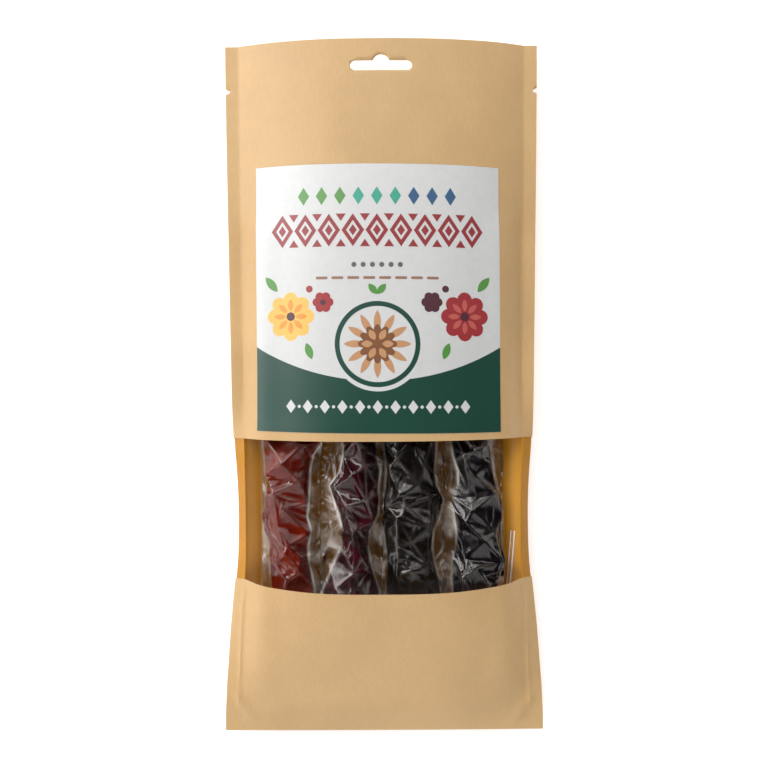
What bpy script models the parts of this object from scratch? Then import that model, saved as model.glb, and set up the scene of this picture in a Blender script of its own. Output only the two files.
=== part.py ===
"""Churchkhela pack: a flat kraft-paper pouch with a clear window band, lying on its back, shown side up.
It holds four churchkhela, each shrunk into its own clear film bag, and it carries a paper label.

The row frame: X across the pouch, Y from its bottom seal to its hang hole, Z up out of the window.
The origin is under the middle of the pouch, on the surface that it lies on. Lengths are in metres.
"""

import math
from typing import NamedTuple

import bmesh
import bpy
import numpy as np
from mathutils import Vector

MM = 0.001

# The pouch as it was cut and sealed, measured flat.
POUCH_WIDTH = 142 * MM
POUCH_HEIGHT = 311 * MM
SIDE_SEAL = 6 * MM
BOTTOM_SEAL = 5 * MM
TOP_SEAL = 18 * MM
WINDOW_BOTTOM = 70 * MM
WINDOW_TOP = 134 * MM
LABEL_BOTTOM = 137.4 * MM
LABEL_TOP = 254 * MM
LABEL_LEFT = -56.7 * MM
LABEL_RIGHT = 53.1 * MM
LABEL_SLANT = -0.008

# Thicknesses of the solids, and the gap that pieces keep to each other.
PAPER = 0.6 * MM
FILM = 0.3 * MM
LABEL = 0.3 * MM
GAP = 0.3 * MM
CLEARANCE = 0.6 * MM

# Hang hole: a round-ended bar with a round hump over its middle.
SLOT_WIDTH = 27.4 * MM
SLOT_BAR = 4.8 * MM
SLOT_HUMP_RADIUS = 3.75 * MM
SLOT_BELOW_TOP = 14.7 * MM
SLOT_ARC_STEPS = 8

# Tear notches, one in each side seal.
NOTCH_DEPTH = 2.0 * MM
NOTCH_HEIGHT = 2.4 * MM
NOTCH_BELOW_TOP = 20.6 * MM

# How the filled pouch bulges: (flat height, value) stations that smooth curves run through.
BULGE = ((0, 0), (5 * MM, 2 * MM), (13 * MM, 5.4 * MM), (25 * MM, 7.7 * MM), (40 * MM, 10.2 * MM),
         (58 * MM, 13.3 * MM), (77 * MM, 15.8 * MM), (95 * MM, 16.2 * MM), (134 * MM, 15.6 * MM),
         (169 * MM, 15.7 * MM), (196 * MM, 15.2 * MM), (241 * MM, 13.4 * MM), (268 * MM, 11.8 * MM),
         (POUCH_HEIGHT, 8.9 * MM))
SHOULDER = ((0, 2.4), (40 * MM, 2.7), (77 * MM, 3.1), (112 * MM, 3.0), (140 * MM, 2.7), (POUCH_HEIGHT, 2.6))
SEAM_HEIGHT = ((0, 6 * MM), (66 * MM, 12.5 * MM), (134 * MM, 12.5 * MM), (236 * MM, 9.5 * MM), (POUCH_HEIGHT, 5 * MM))
SIDE_SEAL_DROOP = ((0, 0), (5 * MM, 0), (30 * MM, 26), (60 * MM, 42), (84 * MM, 52), (112 * MM, 52), (134 * MM, 40),
                   (191 * MM, 24), (250 * MM, 12), (293 * MM, 2), (POUCH_HEIGHT, 0))
SIDE_Y = ((0, -153.6 * MM), (70 * MM, -85.0 * MM), (134 * MM, -22.7 * MM), (POUCH_HEIGHT, 152.6 * MM))
MIDDLE_Y = ((0, -153.6 * MM), (70 * MM, -89.2 * MM), (134 * MM, -23.6 * MM), (POUCH_HEIGHT, 153.6 * MM))
REST_SHARE = 0.66
BOTTOM_RISE = 34 * MM
TOP_RISE = 58 * MM

# The churchkhela: cores of nuts in set grape juice, in film bags with a fin down each side and flat ends.
CORE_BOTTOM = -125 * MM
CORE_TOP = 76 * MM
BAG_TAB = 11 * MM
TAB_HALF_WIDTH = 11 * MM
BAG_FILM = 0.6 * MM
FIN = 4 * MM
NUT_SPREAD = 0.36
CORE_STATIONS = 47
ARC_POINTS = 7


class Churchkhela(NamedTuple):
    """One churchkhela: where it lies, its size, the room across for its bag, and the nuts that shape it."""
    name: str
    place: float
    half_width: float
    half_height: float
    room: tuple
    nut_pitch: float
    nut_swell: float
    nut_lean: float
    nut_place: float
    seed: int
    colour: tuple


STICKS = (
    Churchkhela("churchkhela_amber", -42.9 * MM, 7.9 * MM, 8.8 * MM, (-54 * MM, -28.6 * MM),
                21 * MM, 2.0 * MM, 0.9, -38 * MM, 3, (0.22, 0.022, 0.010)),
    Churchkhela("churchkhela_cherry", -13.0 * MM, 7.2 * MM, 9.4 * MM, (-28 * MM, -1.6 * MM),
                42 * MM, 2.9 * MM, 0.2, -47 * MM, 5, (0.055, 0.006, 0.010)),
    Churchkhela("churchkhela_grape", 12.3 * MM, 10.8 * MM, 10.2 * MM, (-1.0 * MM, 26.4 * MM),
                24 * MM, 1.7 * MM, 0.8, -55 * MM, 8, (0.010, 0.007, 0.006)),
    Churchkhela("churchkhela_plum", 40.9 * MM, 9.0 * MM, 9.2 * MM, (27 * MM, 54 * MM),
                27 * MM, 2.6 * MM, 0.6, -55 * MM, 13, (0.012, 0.006, 0.010)),
)

KRAFT_COLOUR = (0.66, 0.44, 0.22)
LABEL_COLOUR = (0.84, 0.84, 0.83)
FILM_COLOUR = (0.90, 0.92, 0.92)


def clear_scene():
    for obj in list(bpy.data.objects):
        bpy.data.objects.remove(obj)


def material(name, colour, roughness, alpha=1.0):
    mat = bpy.data.materials.new(name)
    mat.use_nodes = True
    shader = mat.node_tree.nodes["Principled BSDF"]
    shader.inputs["Base Color"].default_value = (*colour, 1.0)
    shader.inputs["Roughness"].default_value = roughness
    shader.inputs["Metallic"].default_value = 0.0
    shader.inputs["Alpha"].default_value = alpha
    return mat


def profile(stations, at):
    """The smooth curve through (place, value) stations, read at one place."""
    places, values = np.array(stations, float).T
    slopes = np.gradient(values, places)
    k = int(np.clip(np.searchsorted(places, at) - 1, 0, len(places) - 2))
    span = places[k + 1] - places[k]
    t = min(max((at - places[k]) / span, 0.0), 1.0)
    ends = values[k] * (1 + 2 * t) * (1 - t) ** 2 + values[k + 1] * t * t * (3 - 2 * t)
    turns = slopes[k] * t * (1 - t) ** 2 - slopes[k + 1] * t * t * (1 - t)
    return float(ends + turns * span)


def smoothstep(t):
    t = min(max(t, 0.0), 1.0)
    return t * t * (3 - 2 * t)


def half_chord(height):
    """Half the width between the side seals. The web keeps its width, so the more it bulges, the less this is."""
    free = POUCH_WIDTH / 2 - SIDE_SEAL
    bulge, shoulder = profile(BULGE, height), profile(SHOULDER, height)
    spare = shoulder**2 / (2 * (2 * shoulder - 1)) * bulge**2
    return (free + math.sqrt(free**2 - 4 * spare)) / 2


def share_of_chord(flat_x, height):
    """How far from the middle to the side seal a point lies, from 0 to 1, for its distance along the curved web."""
    t = np.linspace(0, 1, 65)
    bulge, shoulder = profile(BULGE, height), profile(SHOULDER, height)
    slope = shoulder * bulge / half_chord(height) * t ** (shoulder - 1)
    length = np.concatenate([[0], np.cumsum(np.hypot(1, (slope[1:] + slope[:-1]) / 2))])
    free = POUCH_WIDTH / 2 - SIDE_SEAL
    return float(np.interp(abs(flat_x) / free, length / length[-1], t))


def lie_flat(height):
    """1 where the back panel lies on the surface, 0 at the top and bottom seals, where the two webs meet."""
    from_bottom = smoothstep((height - BOTTOM_SEAL) / BOTTOM_RISE)
    from_top = smoothstep((POUCH_HEIGHT - TOP_SEAL - height) / TOP_RISE)
    return from_bottom * from_top


def front_and_back(share, height):
    """Heights of the two webs' inner faces, for a share of the half chord and a flat height."""
    seam = profile(SEAM_HEIGHT, height)
    arch = seam + profile(BULGE, height) * (1 - share ** profile(SHOULDER, height))
    rest = PAPER + (seam - PAPER) * max(0.0, (share - REST_SHARE) / (1 - REST_SHARE)) ** 2
    down = lie_flat(height)
    return arch, arch * (1 - down) + rest * down


def web_point(flat_x, height, layer, offset=0.0):
    """The place of a point of the front or back web's inner face, raised by offset."""
    share = share_of_chord(flat_x, height)
    past_crease = max(0.0, abs(flat_x) - (POUCH_WIDTH / 2 - SIDE_SEAL))
    droop = math.radians(profile(SIDE_SEAL_DROOP, height))
    x = math.copysign(half_chord(height) * share + past_crease * math.cos(droop), flat_x)
    fullness = 1 - share ** profile(SHOULDER, height)
    y = profile(SIDE_Y, height) * (1 - fullness) + profile(MIDDLE_Y, height) * fullness
    front, back = front_and_back(share, height)
    return Vector((x, y, (front if layer == "front" else back) - past_crease * math.sin(droop) + offset))


def spaced(start, end, step):
    """Even places from start to end, about a step apart."""
    return list(np.linspace(start, end, max(1, round((end - start) / step)) + 1))


def grid_lines():
    """The lines across and up the pouch that every flat piece is built on, so that their facets stay parallel."""
    free = POUCH_WIDTH / 2 - SIDE_SEAL
    inner = spaced(LABEL_LEFT, LABEL_RIGHT, 8 * MM)
    across = [-POUCH_WIDTH / 2, -free, *inner, free, POUCH_WIDTH / 2]
    up = [0.0, BOTTOM_SEAL]
    stops = ((WINDOW_BOTTOM, 8 * MM), (WINDOW_TOP, 8 * MM), (LABEL_BOTTOM, 4 * MM), (LABEL_TOP, 10 * MM),
             (POUCH_HEIGHT - TOP_SEAL, 10 * MM), (POUCH_HEIGHT, 6 * MM))
    for stop, step in stops:
        up += spaced(up[-1], stop, step)[1:]
    return across, up


def new_object(name, bm, mat):
    bmesh.ops.recalc_face_normals(bm, faces=bm.faces)
    mesh = bpy.data.meshes.new(name)
    bm.to_mesh(mesh)
    bm.free()
    mesh.materials.append(mat)
    mesh.shade_smooth()
    mesh.set_sharp_from_angle(angle=math.radians(35))
    obj = bpy.data.objects.new(name, mesh)
    bpy.context.scene.collection.objects.link(obj)
    return obj


def cut(obj, cutter):
    """Takes the cutter's shape out of obj, and removes the cutter."""
    modifier = obj.modifiers.new("cut", "BOOLEAN")
    modifier.operation = "DIFFERENCE"
    modifier.solver = "EXACT"
    modifier.object = cutter
    with bpy.context.temp_override(object=obj, active_object=obj, selected_objects=[obj]):
        bpy.ops.object.modifier_apply(modifier=modifier.name)
    bpy.data.objects.remove(cutter)


def prism(name, outline, low, high):
    """A closed upright prism over an outline of (x, y) points."""
    bm = bmesh.new()
    face = bm.faces.new([bm.verts.new((x, y, low)) for x, y in outline])
    raised = bmesh.ops.extrude_face_region(bm, geom=[face])
    moved = [v for v in raised["geom"] if isinstance(v, bmesh.types.BMVert)]
    bmesh.ops.translate(bm, verts=moved, vec=(0, 0, high - low))
    return new_object(name, bm, bpy.data.materials["kraft paper"])


def arc(centre, radius, start, end, steps):
    """Points of an arc about a centre, angles in degrees, both ends included."""
    angles = [math.radians(start + (end - start) * k / steps) for k in range(steps + 1)]
    return [(centre[0] + radius * math.cos(a), centre[1] + radius * math.sin(a)) for a in angles]


def slot_outline():
    """The hang hole seen from above, anticlockwise from its lower left."""
    base = web_point(0, POUCH_HEIGHT - SLOT_BELOW_TOP, "front").y
    end = SLOT_BAR / 2
    reach = SLOT_WIDTH / 2 - end
    rise = math.degrees(math.asin((SLOT_BAR - SLOT_HUMP_RADIUS) / SLOT_HUMP_RADIUS))
    right = arc((reach, base + end), end, -90, 90, SLOT_ARC_STEPS)
    hump = arc((0, base + SLOT_HUMP_RADIUS), SLOT_HUMP_RADIUS, rise, 180 - rise, SLOT_ARC_STEPS)
    left = arc((-reach, base + end), end, 90, 270, SLOT_ARC_STEPS)
    return right + hump + left


def notch_outline(side):
    """A tear notch: a small wedge that points in from the side seal's edge."""
    corner = web_point(side * POUCH_WIDTH / 2, POUCH_HEIGHT - NOTCH_BELOW_TOP, "front")
    half = NOTCH_HEIGHT / 2
    outer = corner.x + side * NOTCH_DEPTH
    tip = corner.x - side * NOTCH_DEPTH
    return [(outer, corner.y - 2 * half), (outer, corner.y + 2 * half),
            (tip, corner.y + half / 4), (tip, corner.y - half / 4)]


def make_pouch(mat):
    """The paper: a back web and a front web, one piece where they are sealed together, with a cavity between.
    The front web is missing over the window band, which opens the cavity."""
    across, up = grid_lines()
    last_x, last_y = len(across) - 1, len(up) - 1
    cavity_x = (1, last_x - 1)
    cavity_y = (1, up.index(POUCH_HEIGHT - TOP_SEAL))
    window = (up.index(WINDOW_BOTTOM), up.index(WINDOW_TOP))
    bm = bmesh.new()
    made = {}

    def vertex(i, j, layer):
        inside = cavity_x[0] < i < cavity_x[1] and cavity_y[0] < j < cavity_y[1]
        if not inside and layer in ("front inner", "back inner"):
            layer = "middle"
        if (i, j, layer) not in made:
            web = "front" if layer in ("front outer", "front inner") else "back"
            lift = {"front outer": PAPER, "back outer": -PAPER}.get(layer, 0.0)
            made[i, j, layer] = bm.verts.new(web_point(across[i], up[j], web, lift))
        return made[i, j, layer]

    def sheet_cell(i, j, layer):
        bm.faces.new([vertex(i, j, layer), vertex(i + 1, j, layer), vertex(i + 1, j + 1, layer), vertex(i, j + 1, layer)])

    def wall(a, b, upper, lower):
        bm.faces.new([vertex(*a, upper), vertex(*b, upper), vertex(*b, lower), vertex(*a, lower)])

    for i in range(last_x):
        for j in range(last_y):
            in_window = window[0] <= j < window[1]
            over_cavity = cavity_x[0] <= i < cavity_x[1] and cavity_y[0] <= j < cavity_y[1]
            sheet_cell(i, j, "back outer")
            if not in_window:
                sheet_cell(i, j, "front outer")
            if over_cavity or in_window:
                sheet_cell(i, j, "back inner")
            if over_cavity and not in_window:
                sheet_cell(i, j, "front inner")
    for j in range(last_y):
        for i in (0, last_x):
            wall((i, j), (i, j + 1), "back inner", "back outer")
            if not window[0] <= j < window[1]:
                wall((i, j), (i, j + 1), "front outer", "front inner")
    for i in range(last_x):
        for j in (0, last_y):
            wall((i, j), (i + 1, j), "back inner", "back outer")
        for j in (0, last_y, *window):
            wall((i, j), (i + 1, j), "front outer", "front inner")
    pouch = new_object("pouch", bm, mat)
    above, below = 60 * MM, -10 * MM
    cut(pouch, prism("slot cutter", slot_outline(), below, above))
    for side in (-1, 1):
        cut(pouch, prism("notch cutter", notch_outline(side), below, above))
    return pouch


def make_sheet(name, sides, ends, slant, lift, thickness, mat):
    """A thin closed sheet that follows the front web between two flat heights, lifted clear of it."""
    across, up = grid_lines()
    columns = [x for x in across if sides[0] - GAP / 3 <= x <= sides[1] + GAP / 3]
    rows = [ends[0], *[y for y in up if ends[0] < y < ends[1]], ends[1]]
    bm = bmesh.new()
    grid = [[bm.verts.new(web_point(x, y + slant * x, "front", lift)) for x in columns] for y in rows]
    for lower, upper in zip(grid, grid[1:]):
        for k in range(len(columns) - 1):
            bm.faces.new([lower[k], lower[k + 1], upper[k + 1], upper[k]])
    top = bmesh.ops.extrude_face_region(bm, geom=list(bm.faces))
    raised = [v for v in top["geom"] if isinstance(v, bmesh.types.BMVert)]
    bmesh.ops.translate(bm, verts=raised, vec=(0, 0, thickness))
    return new_object(name, bm, mat)


MIDDLE_HEIGHTS = np.linspace(0, POUCH_HEIGHT, 200)
MIDDLE_PLACES = [profile(MIDDLE_Y, height) for height in MIDDLE_HEIGHTS]


def flat_height_at(y):
    """The flat height whose middle lies at y."""
    return float(np.interp(y, MIDDLE_PLACES, MIDDLE_HEIGHTS))


def nut_swell(y, side, stick, sizes):
    """How far the nuts push the core out on one side: they lean right and left by turns."""
    total = 0.0
    for k, size in enumerate(sizes):
        turn = k - len(sizes) // 2
        share = 1.0 if (side > 0) == (turn % 2 == 0) else 1 - stick.nut_lean
        from_nut = (y - stick.nut_place - turn * stick.nut_pitch) / (NUT_SPREAD * stick.nut_pitch)
        total += share * size * stick.nut_swell * math.exp(-(from_nut**2))
    return total


def kept_inside(x, y, z, clearance):
    """The height z, moved as little as it takes to stay clear of both webs at (x, y)."""
    height = flat_height_at(y)
    share = min(1.0, abs(x) / half_chord(height))
    front, back = front_and_back(share, height)
    return min(max(z, back + clearance), front - clearance)


def bag_ring(stick, y, sizes):
    """The outline of the film bag round the core at one place, as (x, z) points: two fins and two arches."""
    along = min(max((y - CORE_BOTTOM) / (CORE_TOP - CORE_BOTTOM), 0.0), 1.0)
    taper = math.sqrt(max(0.0, 1 - abs(2 * along - 1) ** 9))
    swell = {side: nut_swell(y, side, stick, sizes) for side in (-1, 1)}
    rise = max(BAG_FILM / 2, taper * (stick.half_height + 0.3 * (swell[-1] + swell[1])))
    floor = max(kept_inside(stick.place + s * stick.half_width / 2, y, 0.0, CLEARANCE) for s in (-1, 1))
    ceiling = kept_inside(stick.place, y, 1.0, CLEARANCE)
    centre = min(floor + rise, (floor + ceiling) / 2)
    ring = []
    for side, start in ((1, 0), (-1, 180)):
        limit = abs(stick.room[1 if side > 0 else 0] - stick.place)
        reach = min(max(taper * (stick.half_width + swell[side]) + FIN, TAB_HALF_WIDTH), limit)
        ring += [(side * reach, -side * BAG_FILM / 2), (side * reach, side * BAG_FILM / 2)]
        for k in range(1, ARC_POINTS + 1):
            angle = math.radians(start + 180 * k / (ARC_POINTS + 1))
            leaning = swell[1 if math.cos(angle) > 0 else -1]
            out = max(taper * min(stick.half_width + leaning, limit - GAP), TAB_HALF_WIDTH / 2)
            ring.append((out * math.cos(angle), rise * math.sin(angle)))
    return [(stick.place + x, kept_inside(stick.place + x, y, centre + z, CLEARANCE)) for x, z in ring]


def make_churchkhela(stick, mat):
    """One churchkhela in its film bag: a lumpy core, a fin of film down each side, and a flat sealed tab at each end."""
    sizes = np.random.default_rng(stick.seed).uniform(0.75, 1.15, 21)
    stations = [CORE_BOTTOM - BAG_TAB, *np.linspace(CORE_BOTTOM, CORE_TOP, CORE_STATIONS), CORE_TOP + BAG_TAB]
    bm = bmesh.new()
    rings = [[bm.verts.new((x, y, z)) for x, z in bag_ring(stick, y, sizes)] for y in stations]
    for first, second in zip(rings, rings[1:]):
        for k in range(len(first)):
            nxt = (k + 1) % len(first)
            bm.faces.new([first[k], first[nxt], second[nxt], second[k]])
    bm.faces.new(rings[0])
    bm.faces.new(rings[-1])
    return new_object(stick.name, bm, mat)


def main():
    clear_scene()
    kraft = material("kraft paper", KRAFT_COLOUR, 0.55)
    clear = material("clear film", FILM_COLOUR, 0.08, alpha=0.3)
    white = material("coated label", LABEL_COLOUR, 0.35)
    make_pouch(kraft)
    sides = (-POUCH_WIDTH / 2, POUCH_WIDTH / 2)
    make_sheet("window_film", sides, (WINDOW_BOTTOM + GAP, WINDOW_TOP - GAP), 0.0, GAP, FILM, clear)
    sides = (LABEL_LEFT, LABEL_RIGHT)
    make_sheet("label", sides, (LABEL_BOTTOM, LABEL_TOP), LABEL_SLANT, PAPER + GAP, LABEL, white)
    for stick in STICKS:
        make_churchkhela(stick, material(stick.name, stick.colour, 0.25))


main()
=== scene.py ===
"""The looks of the churchkhela pack: kraft paper, clear film, printed label, churchkhela in film bags."""

import math

import bmesh
import bpy
import numpy as np
from bpy.props import FloatProperty, FloatVectorProperty, PointerProperty
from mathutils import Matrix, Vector, noise


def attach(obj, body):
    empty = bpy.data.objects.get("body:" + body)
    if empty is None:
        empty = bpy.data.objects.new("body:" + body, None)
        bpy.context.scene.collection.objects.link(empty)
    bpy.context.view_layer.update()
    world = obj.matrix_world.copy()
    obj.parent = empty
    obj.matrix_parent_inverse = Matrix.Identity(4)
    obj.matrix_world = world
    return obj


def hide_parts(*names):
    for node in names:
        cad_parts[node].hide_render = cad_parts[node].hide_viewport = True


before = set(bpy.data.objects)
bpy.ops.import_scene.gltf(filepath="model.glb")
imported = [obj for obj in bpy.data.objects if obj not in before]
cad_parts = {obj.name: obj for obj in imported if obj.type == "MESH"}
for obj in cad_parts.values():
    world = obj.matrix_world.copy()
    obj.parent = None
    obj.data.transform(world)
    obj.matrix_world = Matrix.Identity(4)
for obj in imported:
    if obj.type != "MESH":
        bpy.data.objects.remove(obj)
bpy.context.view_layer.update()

bl_info = {
    "name": "Churchkhela pack",
    "version": (1, 0, 0),
    "blender": (4, 5, 0),
    "location": "View3D > Sidebar > Churchkhela",
    "description": "A kraft-paper pouch of churchkhela in clear film, with a window and a label",
    "category": "Object",
}

MM = 0.001
BODY = "root"
WELD = 0.004 * MM

# The pouch's flat sizes and the curves that it follows when filled, as (flat height, value), the same as the
# solids'. Bulge and shoulder give the arch of the webs, droop and fall the turn of the side seals in degrees.
POUCH_WIDTH = 142 * MM
POUCH_HEIGHT = 311 * MM
SIDE_SEAL = 6 * MM
BOTTOM_SEAL = 5 * MM
TOP_SEAL = 18 * MM
WINDOW_BOTTOM = 70 * MM
WINDOW_TOP = 134 * MM
LABEL_BOTTOM = 137.4 * MM
LABEL_TOP = 254 * MM
LABEL_LEFT = -56.4 * MM
LABEL_RIGHT = 52.2 * MM
LABEL_SLANT = -0.008
FREE_HALF = POUCH_WIDTH / 2 - SIDE_SEAL
BULGE = ((0, 0), (5 * MM, 2 * MM), (13 * MM, 5.4 * MM), (25 * MM, 7.7 * MM), (40 * MM, 10.2 * MM),
         (58 * MM, 13.3 * MM), (77 * MM, 15.8 * MM), (95 * MM, 16.2 * MM), (134 * MM, 15.6 * MM),
         (169 * MM, 15.7 * MM), (196 * MM, 15.2 * MM), (241 * MM, 13.4 * MM), (268 * MM, 11.8 * MM),
         (POUCH_HEIGHT, 8.9 * MM))
SHOULDER = ((0, 2.4), (40 * MM, 2.7), (77 * MM, 3.1), (112 * MM, 3.0), (140 * MM, 2.7), (POUCH_HEIGHT, 2.6))
SEAM_HEIGHT = ((0, 6 * MM), (66 * MM, 12.5 * MM), (134 * MM, 12.5 * MM), (236 * MM, 9.5 * MM),
               (POUCH_HEIGHT, 5 * MM))
LOWER_DROOP = ((0, 0), (5 * MM, 0), (30 * MM, 26), (60 * MM, 42), (84 * MM, 52), (112 * MM, 52))
SIDE_SEAL_DROOP = (*LOWER_DROOP, (134 * MM, 40), (191 * MM, 24), (250 * MM, 12), (293 * MM, 2),
                   (POUCH_HEIGHT, 0))
SIDE_SEAL_FALL = (*LOWER_DROOP, (134 * MM, 36), (146 * MM, 16), (191 * MM, 6), (250 * MM, 4), (293 * MM, 2),
                  (POUCH_HEIGHT, 0))
SIDE_Y = ((0, -153.6 * MM), (70 * MM, -85.0 * MM), (134 * MM, -22.7 * MM), (POUCH_HEIGHT, 152.6 * MM))
MIDDLE_Y = ((0, -153.6 * MM), (70 * MM, -89.2 * MM), (134 * MM, -23.6 * MM), (POUCH_HEIGHT, 153.6 * MM))
REST_SHARE = 0.66  # of the half chord, over which the back web lies flat
BOTTOM_RISE = 34 * MM
TOP_RISE = 58 * MM
SOLID_PAPER = 0.6 * MM

# The hang hole and the tear notches.
SLOT_WIDTH = 27.4 * MM
SLOT_BAR = 4.8 * MM
SLOT_HUMP_RADIUS = 3.75 * MM
SLOT_BELOW_TOP = 14.7 * MM
NOTCH_DEPTH = 2.0 * MM
NOTCH_HEIGHT = 2.4 * MM
NOTCH_BELOW_TOP = 20.6 * MM

# The churchkhela, in millimetres: place across, half width, half height, room for the bag, nut pitch, swell,
# lean and place, then the seed of its nut sizes and folds.
CORE_BOTTOM = -125 * MM
CORE_TOP = 76 * MM
BAG_TAB = 11 * MM
TAB_HALF_WIDTH = 11 * MM
CLEARANCE = 0.6 * MM
NUT_SPREAD = 0.36
STICKS = {
    "churchkhela_amber": (-42.9, 7.9, 8.8, (-53.6, -28.2), 21, 2.0, 0.9, -38, 3),
    "churchkhela_cherry": (-13.0, 7.2, 9.4, (-27.8, -0.4), 42, 2.9, 0.2, -47, 5),
    "churchkhela_grape": (12.3, 10.8, 10.2, (0.0, 26.6), 24, 1.7, 0.8, -55, 8),
    "churchkhela_plum": (40.9, 9.0, 9.2, (27.0, 53.0), 27, 2.6, 0.6, -55, 13),
}
# The photo's middle column, its pixels to a millimetre at the churchkhela, and the place across, in
# millimetres, that its middle column shows.
PHOTO_MIDDLE = 384
PIXELS_PER_MM = 2.253
MIDDLE_ACROSS = 0.8
# Left and right edges of the churchkhela where the window shows them, at even steps from the bottom up:
# columns read from the photo by eye, apart from the left edge of the grape one, set by eye in renders.
EDGE_PLACES = np.linspace(-90.3, -23.8, 11) * MM
EDGES = {
    "churchkhela_amber": ((271, 269.5, 269, 267.5, 263, 260.5, 266, 266.5, 265.5, 263, 263),
                          (314, 311, 308, 307, 310, 306, 308, 308.5, 309, 312, 322)),
    "churchkhela_cherry": ((321, 328, 334, 341, 342.5, 339, 334, 329, 340, 343, 343),
                           (378, 373, 369, 366.5, 368, 376, 378, 377, 379, 376, 375)),
    "churchkhela_grape": ((384.2, 385.4, 385.6, 384.5, 382.9, 382.4, 382, 384.7, 385.8, 384.2, 382.4),
                          (439, 436, 432, 430, 431, 438, 442.5, 435, 433, 434, 435)),
    "churchkhela_plum": ((451, 450, 451, 455, 455, 453, 451, 457, 457, 452, 450),
                         (494, 503, 504, 500.5, 500, 501, 501, 494, 491, 489.5, 488)),
}
SLOTS = {"churchkhela_amber": "amber_juice", "churchkhela_cherry": "cherry_juice",
         "churchkhela_grape": "dark_juice", "churchkhela_plum": "plum_juice"}

# The stretch of the bags that shows in the window, which gets the finest creases.
SHOWN_LOW = -98 * MM
SHOWN_HIGH = -15 * MM


# Colours and shader nodes

def linear(code):
    """A linear colour from sRGB hex."""
    parts = [int(code[k:k + 2], 16) / 255 for k in (1, 3, 5)]
    return (*[c / 12.92 if c <= 0.04045 else ((c + 0.055) / 1.055) ** 2.4 for c in parts], 1.0)


def new_material(name):
    """An empty node material and its node tree."""
    material = bpy.data.materials.new(name)
    material.use_nodes = True
    material.node_tree.nodes.clear()
    return material, material.node_tree


def node(tree, kind, settings=(), links=()):
    """Adds a shader node, with its settings and its input links, each from a socket or a node's first one."""
    made = tree.nodes.new("ShaderNode" + kind)
    for name, value in dict(settings).items():
        if isinstance(name, int) or name in made.inputs:
            made.inputs[name].default_value = value
        else:
            setattr(made, name, value)
    for name, source in dict(links).items():
        tree.links.new(source.outputs[0] if isinstance(source, bpy.types.Node) else source, made.inputs[name])
    return made


def per_metre(size_mm):
    """The scale of a pattern in object coordinates whose features are size_mm apart."""
    return 1000.0 / size_mm


def toned(colour, factor):
    """A colour made darker or paler by a factor."""
    return (*[min(1.0, c * factor) for c in colour[:3]], 1.0)


# The curved web of the pouch

def profile(stations, at):
    """The smooth curve through (place, value) stations, read at many places."""
    places, values = np.array(stations, float).T
    slopes = np.gradient(values, places)
    at = np.asarray(at, float)
    k = np.clip(np.searchsorted(places, at) - 1, 0, len(places) - 2)
    span = places[k + 1] - places[k]
    t = np.clip((at - places[k]) / span, 0.0, 1.0)
    ends = values[k] * (1 + 2 * t) * (1 - t) ** 2 + values[k + 1] * t * t * (3 - 2 * t)
    return ends + span * (slopes[k] * t * (1 - t) ** 2 - slopes[k + 1] * t * t * (1 - t))


def eased(distance, length=1.0):
    """0 up to distance 0 and 1 from the length on, with a smooth rise between."""
    t = np.clip(distance / length, 0.0, 1.0)
    return t * t * (3 - 2 * t)


def hill(distance, width):
    """1 at distance 0, falling away on both sides over about the width."""
    return np.exp(-(distance / width) ** 2)


def half_chord(height):
    """Half the width between the side seals, which shrinks as the web bulges."""
    bulge, shoulder = profile(BULGE, height), profile(SHOULDER, height)
    spare = shoulder**2 / (2 * (2 * shoulder - 1)) * bulge**2
    return (FREE_HALF + np.sqrt(FREE_HALF**2 - 4 * spare)) / 2


def front_and_back(share, height):
    """Heights of the two webs' inner faces, for a share of the half chord and a flat height."""
    seam = profile(SEAM_HEIGHT, height)
    arch = seam + profile(BULGE, height) * (1 - share ** profile(SHOULDER, height))
    rest = SOLID_PAPER + (seam - SOLID_PAPER) * (np.clip(share - REST_SHARE, 0, 1) / (1 - REST_SHARE)) ** 2
    down = eased(height - BOTTOM_SEAL, BOTTOM_RISE) * eased(POUCH_HEIGHT - TOP_SEAL - height, TOP_RISE)
    return arch, arch * (1 - down) + rest * down


def web_row(flat_x, height):
    """Points of the front and back webs' inner faces along one flat height."""
    t = np.linspace(0, 1, 65)
    bulge, shoulder = float(profile(BULGE, height)), float(profile(SHOULDER, height))
    chord = float(half_chord(height))
    slope = shoulder * bulge / chord * t ** (shoulder - 1)
    length = np.concatenate([[0], np.cumsum(np.hypot(1, (slope[1:] + slope[:-1]) / 2))])
    share = np.interp(np.abs(flat_x) / FREE_HALF, length / length[-1], t)
    past_crease = np.clip(np.abs(flat_x) - FREE_HALF, 0, None)
    droop = math.radians(float(profile(SIDE_SEAL_DROOP, height)))
    x = np.copysign(chord * share + past_crease * math.cos(droop), flat_x)
    fullness = 1 - share**shoulder
    y = float(profile(SIDE_Y, height)) * (1 - fullness) + float(profile(MIDDLE_Y, height)) * fullness
    front, back = front_and_back(share, height)
    fall = past_crease * math.sin(math.radians(float(profile(SIDE_SEAL_FALL, height))))
    return np.stack([x, y, front - fall], -1), np.stack([x, y, back - fall], -1)


def wave(x, y, size_x, size_y, seed):
    """Smooth noise from -1 to 1 over arrays of places, with hills of the given sizes."""
    flat = [noise.noise(Vector((a / size_x, b / size_y, seed * 7.31))) for a, b in zip(x.ravel(), y.ravel())]
    return np.array(flat).reshape(x.shape)


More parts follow.
